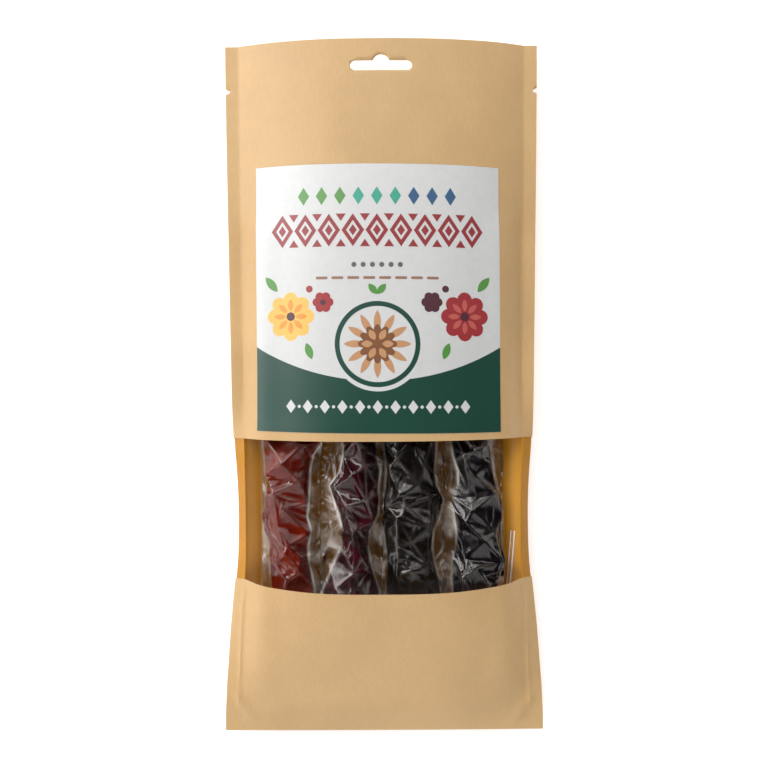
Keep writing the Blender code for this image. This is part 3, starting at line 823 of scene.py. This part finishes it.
class Creases:
    """The folds of one bag's film, laid over its smooth form: how far they stand off it and where."""

    def __init__(self, smooth, settings, seed):
        self.across, self.along = plane_places(smooth)
        self.seed, size = seed, settings.facet_size
        self.large, medium, small = (
            Folds(self.across, self.along, share * size, seed + number, turn, FACET_STRETCH)
            for number, (share, turn) in enumerate(FACETS))
        patch = eased(0.1 + 1.8 * self.noise(1.3 * size, 3))
        relief = settings.facet_depth * (0.21 * medium.heights() + 0.05 * patch * small.heights())
        self.relief = relief - settings.sag * (self.large.sag() + 0.5 * medium.sag())
        lesser = 0.5 * (1 - 0.6 * patch) * medium.ridges(FOLD_WIDTH)
        self.fold = np.maximum(self.large.ridges(FOLD_WIDTH), lesser)
        self.crinkle = Folds(self.across, self.along, CRINKLE, seed + 5, 1.1, 2.2)
        from_end = np.minimum(self.along - self.along.min(), self.along.max() - self.along)
        self.ends = eased(from_end, END_FADE)

    def noise(self, size, number):
        return noise_grid(self.across, self.along, size, self.seed + number)

    def milkiness_and_sheen(self, stick, top, on_core):
        """How far the film is drawn white: along its folds partly as whitened film and partly as painted
        highlight, and painted highlight in patches on the fins and in a line and crinkled band where it
        leaves the core.
        """
        left, right, _, _ = stick.section(top[..., 1])
        strength = np.clip(0.55 + 0.9 * self.noise(6 * MM, 7), 0, 1)
        # Painted highlight: pale patches on the fins low in the window, for the film's reflections there.
        sheen_patches = eased(0.5 + 1.6 * self.noise(7 * MM, 9)) * eased(SHEEN_PATCH_TOP - self.along, 12 * MM)
        milky = 0.08 * self.fold**1.5 * on_core + 0.28 * sheen_patches * (1 - on_core)
        crinkled = 0.75 * self.crinkle.ridges(0.5 * MM)
        # Painted highlight: a thin white line and a crinkled white band beside the core's feet.
        for shine, beyond in zip(FOOT_SHINE[stick.name], (left - top[..., 0], top[..., 0] - right)):
            line = hill(beyond - 0.35 * MM, 0.5 * MM)
            band = eased(beyond, 0.6 * MM) * crinkled * hill(beyond, 3.2 * MM)
            milky = np.maximum(milky, shine * strength * np.maximum(line, band))
        return np.clip(milky * self.ends, 0, 1)


def shaped_bag(stick, settings):
    """The creased top and bottom webs of the film, those of its core, and how far the top film is drawn
    white, as whitened film and as painted highlight.
    """
    top, bottom = (bag_web(stick, side, settings.flare) for side in (1, -1))
    core_top, core_bottom = (bag_web(stick, side, 0.0) for side in (1, -1))
    creases = Creases(top, settings, stick.seed * 17)
    large, relief, ends = creases.large, creases.relief, creases.ends
    u = np.linspace(0, 1, top.shape[1])
    from_seal = np.minimum(u, 1 - u)
    sealed = eased(from_seal, SEAL_SHARE)
    on_core = eased(from_seal - FIN_SHARE, SEAL_SHARE)

    share = (ends * eased(from_seal - 0.07, 0.08))[..., None]
    top = top * (1 - share) + large.flattened(top, settings.facet_depth) * share
    share = (ends * on_core)[..., None]
    flat = large.flattened(core_top, settings.facet_depth, fin_columns(top))
    core_top = core_top * (1 - share) + flat * share

    fin = 0.5 * MM * creases.crinkle.heights() * (1 - on_core)
    raised = (relief + settings.pinch * creases.fold + fin) * sealed * ends
    top = displaced(top, raised + FILM_LIFT * sealed)
    bottom = displaced(bottom, -0.25 * relief * sealed * ends - FILM_LIFT * sealed)
    core_top = displaced(core_top, relief * on_core * ends - CORE_INSET * ends)
    core_bottom = displaced(core_bottom, CORE_INSET * ends - 0.1 * MM)
    top, core_top = (rounded(grid, on_core * ends, FOLD_ROUNDING) for grid in (top, core_top))
    return top, bottom, core_top, core_bottom, creases.milkiness_and_sheen(stick, top, on_core)


def fin_columns(grid):
    """How many columns of a bag's grid lie in one of its fins."""
    return round(FIN_SHARE * (grid.shape[1] - 1))


def clear_of_webs(grid, clearance):
    """Keeps a grid under the window and over the back web."""
    x, y, z = np.moveaxis(grid, -1, 0)
    return np.stack([x, y, kept_inside(x, y, z, clearance)], axis=-1)


def tucked_under(bottom, top, gap):
    """The bottom grid, kept under the top one by a gap and joined to its side edges."""
    bottom = bottom.copy()
    bottom[..., 2] = np.minimum(bottom[..., 2], top[..., 2] - gap)
    bottom[:, [0, -1]] = top[:, [0, -1]]
    return bottom


def make_cores(settings, juices):
    """The four churchkhela, each a lumpy core whose skin has taken the dents of its film."""
    for name in STICKS:
        _, _, top, bottom, _ = shaped_bag(Stick(name), settings)
        fin = fin_columns(top)
        inside = (top[:, fin, 1] > CORE_BOTTOM) & (top[:, fin, 1] < CORE_TOP)
        top, bottom = (grid[inside, fin:grid.shape[1] - fin] for grid in (top, bottom))
        top = clear_of_webs(top, 0.4 * MM)
        bottom = tucked_under(bottom, top, 0.01 * MM)
        material = juice_material("set juice, " + name.split("_")[1], *juices.juice(name))
        core = closed_sheet(name.replace("churchkhela", "core"), top, bottom, material)
        place_piece(core, SLOTS[name], name)


def make_bags(settings):
    """The four film bags, each of two webs sealed along their fins and ends."""
    # Barrier film has several layers and is drawn tight by the vacuum, so it shines strongly and softly.
    #     Its grey tint is painted shade, darkening all that shows through it, most of all the gaps between
    #     the churchkhela.
    material = film_material("clear barrier film, vacuumed", 0.19, 1.65, "#f1f1f2")
    for name in STICKS:
        top, bottom, _, _, milky = shaped_bag(Stick(name), settings)
        top = clear_of_webs(top, 0.15 * MM)
        bottom = tucked_under(bottom, top, 0.02 * MM)
        bag = closed_sheet(name.replace("churchkhela", "film_bag"), top, bottom, material, milky=milky)
        place_piece(bag, SLOTS[name], name)


def weld_material():
    """Film welded through by heat, which turns it milky and leaves a smooth shine."""
    material, tree = new_material("welded film, milky")
    shader = node(tree, "BsdfPrincipled", {"Base Color": linear("#fbf6ee"), "Roughness": 0.3})
    node(tree, "OutputMaterial", {}, {"Surface": shader})
    return material


def make_seam():
    """The cut edge of the plum bag: two milky welded lines."""
    material = weld_material()
    foot, head = np.array([54.9, -91.0, 0.0]) * MM, np.array([56.9, -64.4, 0.0]) * MM
    t, w = np.meshgrid(np.linspace(0, 1, 20), np.linspace(-1, 1, 7), indexing="ij")
    for name, aside, wide in (("film_bag_weld_inner", 0.0, 0.28 * MM),
                              ("film_bag_weld_outer", 1.4 * MM, 0.4 * MM)):
        line = foot + (head - foot) * t[..., None]
        line[..., 2] = kept_inside(line[..., 0] + aside, line[..., 1], 0.0, 0.5 * MM)
        top, bottom = (line + np.stack([aside + wide * w, 0 * w, rise * np.sqrt(1 - w * w)], axis=-1)
                       for rise in (0.3 * MM, -0.1 * MM))
        seam = closed_sheet(name, top, tucked_under(bottom, top, 0.0), material)
        place_piece(seam, SLOTS["churchkhela_plum"])


# The label and its print

LABEL_LIFT = SOLID_PAPER + 0.05 * MM
LABEL_TOP_FACE = SOLID_PAPER + 0.15 * MM
INK_STEP = 0.03 * MM
PRINT_CELL = 1.5  # millimetres


class Label:
    """Places on the label: u from its middle, v up from its bottom edge, in millimetres."""

    def __init__(self, web):
        self.web = web
        self.middle = (LABEL_LEFT + LABEL_RIGHT) / 2
        self.half_width = (LABEL_RIGHT - LABEL_LEFT) / 2 / MM
        self.height = (LABEL_TOP - LABEL_BOTTOM) / MM

    def places(self, u, v, lift):
        x = self.middle + np.asarray(u) * MM
        return self.web.places(x, LABEL_BOTTOM + np.asarray(v) * MM + LABEL_SLANT * x, lift)


def print_material(name, colour, roughness=0.4):
    """Offset ink on coated paper under a varnish: even colour with a faint fibre mottle and a soft gloss."""
    material, tree = new_material(name)
    where = node(tree, "TexCoord").outputs["Object"]
    # The real mottle is under 1 mm across: it is drawn 3 mm apart, as coarse as it needs to be to show.
    mottle = node(tree, "TexNoise", {"Scale": per_metre(3), "Detail": 3.0}, {"Vector": where})
    level = node(tree, "MapRange", {"From Min": 0.3, "From Max": 0.7, "To Min": 0.975, "To Max": 1.02},
                 {"Value": mottle})
    tinted = node(tree, "VectorMath", {"operation": "SCALE", 0: colour[:3]}, {"Scale": level})
    shader = node(tree, "BsdfPrincipled", {"Roughness": roughness, "IOR": 1.53, "Specular IOR Level": 0.85},
                  {"Base Color": tinted})
    node(tree, "OutputMaterial", {}, {"Surface": shader})
    return material


def printed(label, name, level, shapes, material):
    """A thin closed layer of ink: flat shapes, filled, cut into small cells and laid on the label. A shape is
    one outline, or a tuple of an outline and its hole, and a higher level covers a lower one."""
    bm = bmesh.new()
    for shape in shapes:
        edges = []
        for loop in shape if isinstance(shape, tuple) else (shape,):
            verts = [bm.verts.new((u, v, 0)) for u, v in loop]
            edges += [bm.edges.new(ends) for ends in zip(verts, verts[1:] + verts[:1])]
        bmesh.ops.triangle_fill(bm, use_beauty=True, use_dissolve=False, edges=edges)
    for axis, way in enumerate(((1, 0, 0), (0, 1, 0))):
        spots = [vert.co[axis] for vert in bm.verts]
        first = math.floor(min(spots) / PRINT_CELL) * PRINT_CELL + PRINT_CELL
        for at in np.arange(first, max(spots), PRINT_CELL):
            everything = [*bm.verts, *bm.edges, *bm.faces]
            bmesh.ops.bisect_plane(bm, geom=everything, plane_co=[at * w for w in way], plane_no=way)
    raised = extruded(bm, list(bm.faces))
    under = [vert for vert in bm.verts if vert not in set(raised)]
    for verts, lift in ((raised, LABEL_TOP_FACE + level * INK_STEP), (under, LABEL_TOP_FACE - INK_STEP)):
        u, v = np.array([vert.co.xy for vert in verts]).T
        for vert, point in zip(verts, label.places(u, v, lift)):
            vert.co = point
    mesh = bpy.data.meshes.new(name)
    bm.to_mesh(mesh)
    bm.free()
    place_piece(finish_mesh(name, mesh, material, sharp=40), "coated_label")


def disc(u, v, radius, count=28):
    """A round outline of count points."""
    turns = [2 * math.pi * k / count for k in range(count)]
    return [(u + radius * math.cos(turn), v + radius * math.sin(turn)) for turn in turns]


def diamond(u, v, half_width, half_height):
    return [(u + half_width, v), (u, v + half_height), (u - half_width, v), (u, v - half_height)]


def leaf(u, v, length, width, turn, steps=9):
    """A pointed oval that starts at (u, v) and points along turn, in degrees."""
    cos, sin = math.cos(math.radians(turn)), math.sin(math.radians(turn))
    side = [(length * k / steps, width / 2 * math.sin(math.pi * k / steps) ** 0.8) for k in range(steps + 1)]
    loop = side[:-1] + [(a, -b) for a, b in side[:0:-1]]
    return [(u + a * cos - b * sin, v + a * sin + b * cos) for a, b in loop]


def rosette(u, v, inner, outer, petals):
    """Petals round a middle, as leaves that don't touch."""
    made = []
    for turn in (360 * k / petals for k in range(petals)):
        foot = u + inner * math.cos(math.radians(turn)), v + inner * math.sin(math.radians(turn))
        made.append(leaf(*foot, outer - inner, (outer + inner) * 0.62 * math.pi / petals, turn))
    return made


def flower(u, v, radius, lobes, depth=0.2):
    """A solid round shape with a scalloped edge."""
    angles = np.linspace(0, 2 * math.pi, 10 * lobes, endpoint=False)
    reach = radius * (1 - depth + depth * np.abs(np.cos(lobes * angles / 2)) ** 0.8)
    return [(u + r * math.cos(a), v + r * math.sin(a)) for a, r in zip(angles, reach)]


def rounded_bar(u0, u1, v0, v1, radius):
    corners = [((u1 - radius, v0 + radius), -90), ((u1 - radius, v1 - radius), 0),
               ((u0 + radius, v1 - radius), 90), ((u0 + radius, v0 + radius), 180)]
    return [point for centre, start in corners for point in arc(centre, radius, start, start + 90, 5)]


def green_field(half_width):
    """The field at the foot of the label, with a round hollow along its top edge."""
    rim, edge_height, sag = 0.05, 37, 14.8
    chord = half_width - rim
    radius = (chord**2 + sag**2) / (2 * sag)
    across = np.linspace(chord, -chord, 61)
    hollow = [(a, edge_height - sag + radius - math.sqrt(radius**2 - a * a)) for a in across]
    return [(-chord, rim), (chord, rim)] + hollow


def woven_band():
    """A row of nested diamonds with triangles between them."""
    middle, top, bottom = 87.3, 94.5, 80.1
    band = []
    for a in np.linspace(-41.6, 41.6, 9):
        band += [(diamond(a, middle, 4.9, 7.2), diamond(a, middle, 2.9, 4.3)), diamond(a, middle, 1.7, 2.5)]
    for a in np.linspace(-36.4, 36.4, 8):
        band += [[(a - 2.2, top), (a, top - 3.3), (a + 2.2, top)],
                 [(a + 2.2, bottom), (a, bottom + 3.3), (a - 2.2, bottom)]]
    return band


def label_prints(half_width):
    """The pieces of the print, as (name, level, ink, shapes)."""
    middle, left, right, small_left, small_right = (0, 38), (-38, 50), (38, 50), (-23.5, 56), (23.5, 56)
    row = [diamond(a, 102.4, 2.5, 4.0) for a in np.linspace(-32, 32, 9)]
    leaves = [leaf(-44, 61, 8.5, 3.6, 130), leaf(44, 61, 8.5, 3.6, 50), leaf(-31, 38.5, 7.5, 3.4, 290),
              leaf(31, 38.5, 7.5, 3.4, 250), leaf(0, 59.4, 5.8, 3.0, 50), leaf(0, 59.4, 5.8, 3.0, 130)]
    marks = [diamond(a, 11.2, 2.2, 2.9) for a in np.linspace(-38, 38, 11)]
    marks += [disc(a, 11.2, 0.7, 14) for a in np.linspace(-34.2, 34.2, 10)]
    dots = [disc(a, 72.2, 1.1) for a in np.linspace(-10, 10, 6)]
    dashes = [rounded_bar(a - 2.6, a + 2.6, 65.9, 67.1, 0.55) for a in np.linspace(-24, 24, 8)]
    return (
        ("print_green_field", 1, "green", [green_field(half_width)]),
        ("print_green_row", 1, "leaf green", row[:3]),
        ("print_teal_row", 1, "teal", row[3:6]),
        ("print_blue_row", 1, "deep teal", row[6:]),
        ("print_red_band", 1, "red", woven_band()),
        ("print_grey_dots", 1, "grey", dots),
        ("print_brown_dashes", 1, "brown", dashes),
        ("print_white_medal", 2, "white", [disc(*middle, 20.2, 72)]),
        ("print_green_ring", 3, "green", [(disc(*middle, 18.4, 72), disc(*middle, 16.3, 72))]),
        ("print_tan_petals", 3, "tan", rosette(*middle, 4.5, 14.6, 12)),
        ("print_nut_flower", 4, "brown nut", [flower(*middle, 8.4, 12, 0.25)]),
        ("print_nut_petals", 5, "tan", rosette(*middle, 2.0, 7.0, 6)),
        ("print_orange_flower", 1, "orange", [flower(*left, 10.6, 8)]),
        ("print_orange_petals", 2, "deep orange", rosette(*left, 2.2, 7.6, 8)),
        ("print_red_flower", 1, "cherry", [flower(*right, 10.6, 8)]),
        ("print_red_petals", 2, "pale red", rosette(*right, 2.2, 7.6, 8)),
        ("print_small_cherry", 1, "cherry", [flower(*small_left, 4.6, 6), disc(-29.5, 61.8, 1.5)]),
        ("print_small_plum", 1, "plum", [flower(*small_right, 4.6, 6), disc(29.5, 61.8, 1.5)]),
        ("print_plum_dots", 3, "plum", [disc(*left, 1.9), disc(*right, 1.9), disc(*small_left, 1.2)]),
        ("print_leaves", 1, "leaf green", leaves),
        ("print_white_row", 2, "white", marks),
    )


def make_label(web, settings):
    """The coated paper label with a generic print: fields of colour, a woven band and plain rosettes."""
    label = Label(web)
    u, v = np.meshgrid(np.linspace(-label.half_width, label.half_width, 80), np.linspace(0, label.height, 60))
    sheet = closed_sheet("label_paper", label.places(u, v, LABEL_TOP_FACE), label.places(u, v, LABEL_LIFT),
                         print_material("coated label paper", settings.label_white, 0.36), sharp=40)
    place_piece(sheet, "coated_label", "label")
    inks = {name: print_material("offset ink, " + name, colour) for name, colour in settings.inks().items()}
    for name, level, ink, shapes in label_prints(label.half_width):
        printed(label, name, level, shapes, inks[ink])


# Settings that a user would change

def colour(name, description, code):
    """A colour setting, from sRGB hex."""
    return FloatVectorProperty(name=name, description=description, subtype="COLOR", size=4, min=0, max=1,
                               default=linear(code))


def length(name, description, default, low, high):
    """A length setting, from millimetres."""
    return FloatProperty(name=name, description=description, subtype="DISTANCE", precision=5,
                         default=default * MM, min=low * MM, max=high * MM)


class ChurchkhelaPaperSettings(bpy.types.PropertyGroup):
    kraft: colour("Kraft", "Outside of the pouch", "#d1ad7b")
    # Kraft inside is painted brighter than the real paper, standing in for light that reaches into the pouch.
    kraft_inside_lit: colour("Kraft inside", "Paper seen through the window", "#eca832")
    kraft_bonded: colour("Bonded kraft", "Paper under the window film at the side seals", "#c58e42")
    paper_thickness: length("Paper", "Thickness of one web", 0.3, 0.1, 0.5)


class ChurchkhelaLabelSettings(bpy.types.PropertyGroup):
    label_white: colour("White", "Unprinted label", "#cbcbca")
    green: colour("Green", "Lower field", "#013c2e")
    red: colour("Red", "Woven band", "#8c2227")
    orange: colour("Orange", "Large rosettes", "#f2b351")
    tan: colour("Tan", "Middle rosette", "#b98a62")

    def inks(self):
        """The inks of the print by name: the ones above, and lesser ones."""
        lesser = {"leaf green": "#4f8a3a", "teal": "#2f9a83", "deep teal": "#28527a", "grey": "#5d5a5c",
                  "brown": "#8f6a5a", "brown nut": "#7a4c2a", "cherry": "#98282d", "pale red": "#b9584f",
                  "deep orange": "#d98f33", "plum": "#4a1f2a"}
        return {"green": self.green, "red": self.red, "orange": self.orange, "tan": self.tan,
                "white": self.label_white, **{name: linear(code) for name, code in lesser.items()}}


class ChurchkhelaStickSettings(bpy.types.PropertyGroup):
    amber: colour("Amber", "Red-brown churchkhela", "#620c02")
    amber_glow: colour("Amber glow", "Where its skin is thin", "#86240c")
    cherry: colour("Cherry", "Dark red churchkhela", "#1e0206")
    cherry_glow: colour("Cherry glow", "Where its skin is thin", "#4a0a1b")
    grape: colour("Grape", "Black churchkhela", "#0d0706")
    grape_glow: colour("Grape glow", "Where its skin is thin", "#1a100d")
    plum: colour("Plum", "Blue-black churchkhela", "#09060a")
    plum_glow: colour("Plum glow", "Where its skin is thin", "#140c16")

    def juice(self, name):
        """The deep colour of a churchkhela and its glow where the skin is thin."""
        key = name.split("_")[1]
        return getattr(self, key), getattr(self, key + "_glow")


class ChurchkhelaFilmSettings(bpy.types.PropertyGroup):
    facet_size: length("Facet size", "Width of the large facets of the creased film", 7.8, 2, 20)
    facet_depth: length("Facet depth", "How deep the facets are folded", 2.0, 0, 3)
    pinch: length("Pinch", "Height of the thin pinched ridges", 0.4, 0, 2)
    sag: length("Sag", "How far the film is sucked in between its folds", 0.55, 0, 2)
    flare: length("Flare", "How far the film stands off the foot of the churchkhela", 4.0, 0, 6)


class ChurchkhelaStudioSettings(bpy.types.PropertyGroup):
    camera_height: length("Camera height", "Above the surface", 504.3, 300, 2000)
    focal_length: FloatProperty(name="Lens", description="Focal length on a 36 mm sensor", default=52.08,
                                min=20, max=200, subtype="DISTANCE_CAMERA")
    key_power: FloatProperty(name="Key", description="Power of the large lamp on the left", default=7.05,
                             min=0, subtype="POWER")
    floor: colour("Floor", "Plain pale floor", "#f4f4f4")


# The studio

# Each lamp's name, place, aim, size, share of the key's power, and whether reflections show it.
LAMPS = (
    ("key lamp", (-0.74, 0.54, 0.6), (0, 0, 0), (0.8, 0.9), 1.0, True),
    ("top fill", (-0.4, 0.9, 0.9), (0, -0.02, 0), (1.2, 0.7), 0.45, True),
    ("front fill", (-0.35, -0.9, 0.8), (0, 0, 0), (1.6, 0.7), 0.8, False),
    ("left bank", (-1.0, 0.0, 0.36), (0, 0, 0), (1.3, 0.3), 0.32, True),
    ("side fill", (1.0, -0.1, 0.5), (0, 0, 0), (0.7, 0.5), 0.05, False),
)
# Bright walls of the tent round the pack: axis, where the wall starts, where it is brightest, how bright.
TENT_WALLS = (("Y", 0.22, 0.55, 1.2), ("X", -0.62, -0.95, 0.35), ("Y", -0.28, -0.62, 0.9),
              ("Z", 0.2, 0.02, 0.8))
FLOOR_HALF = 3.0


def board_material(colour):
    """Matt white board with a slight glow of its own, which leaves only a faint shadow round the pack."""
    material, tree = new_material("matt white board")
    # The board's real grain is finer: it is drawn 4 mm apart, which breaks up its dull sheen.
    speck = node(tree, "TexNoise", {"Scale": per_metre(4), "Detail": 2.0},
                 {"Vector": node(tree, "TexCoord").outputs["Object"]})
    rough = node(tree, "MapRange", {"To Min": 0.7, "To Max": 0.85}, {"Value": speck})
    shader = node(tree, "BsdfPrincipled", {"Base Color": colour, "Specular IOR Level": 0.2,
                                           "Emission Color": linear("#ffffff"), "Emission Strength": 0.45},
                  {"Roughness": rough})
    node(tree, "OutputMaterial", {}, {"Surface": shader})
    return material


def make_floor(colour):
    corners = [(x * FLOOR_HALF, y * FLOOR_HALF, 0) for x, y in ((-1, -1), (1, -1), (1, 1), (-1, 1))]
    mesh_object("floor", corners, [[0, 1, 2, 3]], board_material(colour))


def soft_box(name, place, aim, size, power, in_gloss):
    """A large rectangular studio lamp, which may be kept out of reflections."""
    lamp = bpy.data.lights.new(name, "AREA")
    lamp.shape = "RECTANGLE"
    lamp.size, lamp.size_y = size
    lamp.energy = power
    obj = bpy.data.objects.new(name, lamp)
    obj.location = place
    obj.rotation_euler = (Vector(aim) - Vector(place)).to_track_quat("-Z", "Y").to_euler()
    obj.visible_glossy = in_gloss
    bpy.context.scene.collection.objects.link(obj)


def make_tent():
    """A world with soft bright walls, which the film and the laminate reflect."""
    world = bpy.data.worlds.new("white tent")
    world.use_nodes = True
    tree = world.node_tree
    tree.nodes.clear()
    split = node(tree, "SeparateXYZ", {}, {"Vector": node(tree, "TexCoord").outputs["Generated"]})
    total = None
    for axis, start, end, level in TENT_WALLS:
        wall = node(tree, "MapRange", {"interpolation_type": "SMOOTHSTEP", "From Min": start, "From Max": end,
                                       "To Max": level}, {"Value": split.outputs[axis]})
        if total is not None:
            wall = node(tree, "Math", {"operation": "MAXIMUM"}, {0: total, 1: wall})
        total = wall
    tent = node(tree, "Background", {"Color": linear("#ffffff")}, {"Strength": total})
    node(tree, "OutputWorld", {}, {"Surface": tent})
    return world


def make_camera(settings):
    """A camera that looks straight down at the pack, turned and placed as the photo's."""
    lens = bpy.data.cameras.new("camera")
    lens.sensor_width = 36.0
    lens.lens = settings.focal_length
    lens.clip_start = 0.01
    camera = bpy.data.objects.new("camera", lens)
    camera.location = (0.6 * MM, 1.1 * MM, settings.camera_height)
    camera.rotation_euler = (0, 0, math.radians(-0.3))
    bpy.context.scene.collection.objects.link(camera)
    return camera


# Operators, one for each piece or group of like pieces and one for the stage

WEB = Web()


class CHURCHKHELA_OT_pouch(bpy.types.Operator):
    """Make the kraft-paper pouch"""
    bl_idname = "churchkhela.pouch"
    bl_label = "Kraft pouch"

    def execute(self, context):
        make_pouch(WEB, context.scene.churchkhela_paper)
        return {"FINISHED"}


class CHURCHKHELA_OT_window(bpy.types.Operator):
    """Make the clear film of the window"""
    bl_idname = "churchkhela.window"
    bl_label = "Window film"

    def execute(self, context):
        make_window(WEB)
        return {"FINISHED"}


class CHURCHKHELA_OT_label(bpy.types.Operator):
    """Make the label and its generic print"""
    bl_idname = "churchkhela.label"
    bl_label = "Label"

    def execute(self, context):
        make_label(WEB, context.scene.churchkhela_label)
        return {"FINISHED"}


class CHURCHKHELA_OT_sticks(bpy.types.Operator):
    """Make the four churchkhela"""
    bl_idname = "churchkhela.sticks"
    bl_label = "Churchkhela"

    def execute(self, context):
        make_cores(context.scene.churchkhela_film, context.scene.churchkhela_sticks)
        return {"FINISHED"}


class CHURCHKHELA_OT_bags(bpy.types.Operator):
    """Make the crumpled film bags round the churchkhela"""
    bl_idname = "churchkhela.bags"
    bl_label = "Film bags"

    def execute(self, context):
        make_bags(context.scene.churchkhela_film)
        make_seam()
        return {"FINISHED"}


class CHURCHKHELA_OT_studio(bpy.types.Operator):
    """Make the floor, the lamps and the camera"""
    bl_idname = "churchkhela.studio"
    bl_label = "Studio"

    def execute(self, context):
        scene, settings = context.scene, context.scene.churchkhela_studio
        make_floor(settings.floor)
        for name, place, aim, size, share, in_gloss in LAMPS:
            soft_box(name, place, aim, size, settings.key_power * share, in_gloss)
        scene.world = make_tent()
        scene.camera = make_camera(settings)
        scene.view_settings.view_transform = "Standard"
        return {"FINISHED"}


class CHURCHKHELA_PT_panel(bpy.types.Panel):
    """Buttons and settings for the pack"""
    bl_label = "Churchkhela pack"
    bl_idname = "CHURCHKHELA_PT_panel"
    bl_space_type = "VIEW_3D"
    bl_region_type = "UI"
    bl_category = "Churchkhela"

    def draw(self, context):
        for operator, settings in PIECES:
            box = self.layout.box()
            box.operator(operator.bl_idname)
            if settings:
                group = getattr(context.scene, settings)
                for name in group.__annotations__:
                    box.prop(group, name)


PIECES = (
    (CHURCHKHELA_OT_pouch, "churchkhela_paper"),
    (CHURCHKHELA_OT_window, None),
    (CHURCHKHELA_OT_label, "churchkhela_label"),
    (CHURCHKHELA_OT_sticks, "churchkhela_sticks"),
    (CHURCHKHELA_OT_bags, "churchkhela_film"),
    (CHURCHKHELA_OT_studio, "churchkhela_studio"),
)
GROUPS = {
    "churchkhela_paper": ChurchkhelaPaperSettings,
    "churchkhela_label": ChurchkhelaLabelSettings,
    "churchkhela_sticks": ChurchkhelaStickSettings,
    "churchkhela_film": ChurchkhelaFilmSettings,
    "churchkhela_studio": ChurchkhelaStudioSettings,
}


def register():
    for name, group in GROUPS.items():
        bpy.utils.register_class(group)
        setattr(bpy.types.Scene, name, PointerProperty(type=group))
    for operator, _ in PIECES:
        bpy.utils.register_class(operator)
    bpy.utils.register_class(CHURCHKHELA_PT_panel)


def unregister():
    bpy.utils.unregister_class(CHURCHKHELA_PT_panel)
    for operator, _ in PIECES:
        bpy.utils.unregister_class(operator)
    for name, group in GROUPS.items():
        delattr(bpy.types.Scene, name)
        bpy.utils.unregister_class(group)


def main():
    register()
    bpy.ops.churchkhela.pouch()
    bpy.ops.churchkhela.window()
    bpy.ops.churchkhela.label()
    bpy.ops.churchkhela.sticks()
    bpy.ops.churchkhela.bags()
    bpy.ops.churchkhela.studio()


if __name__ == "__main__":
    main()
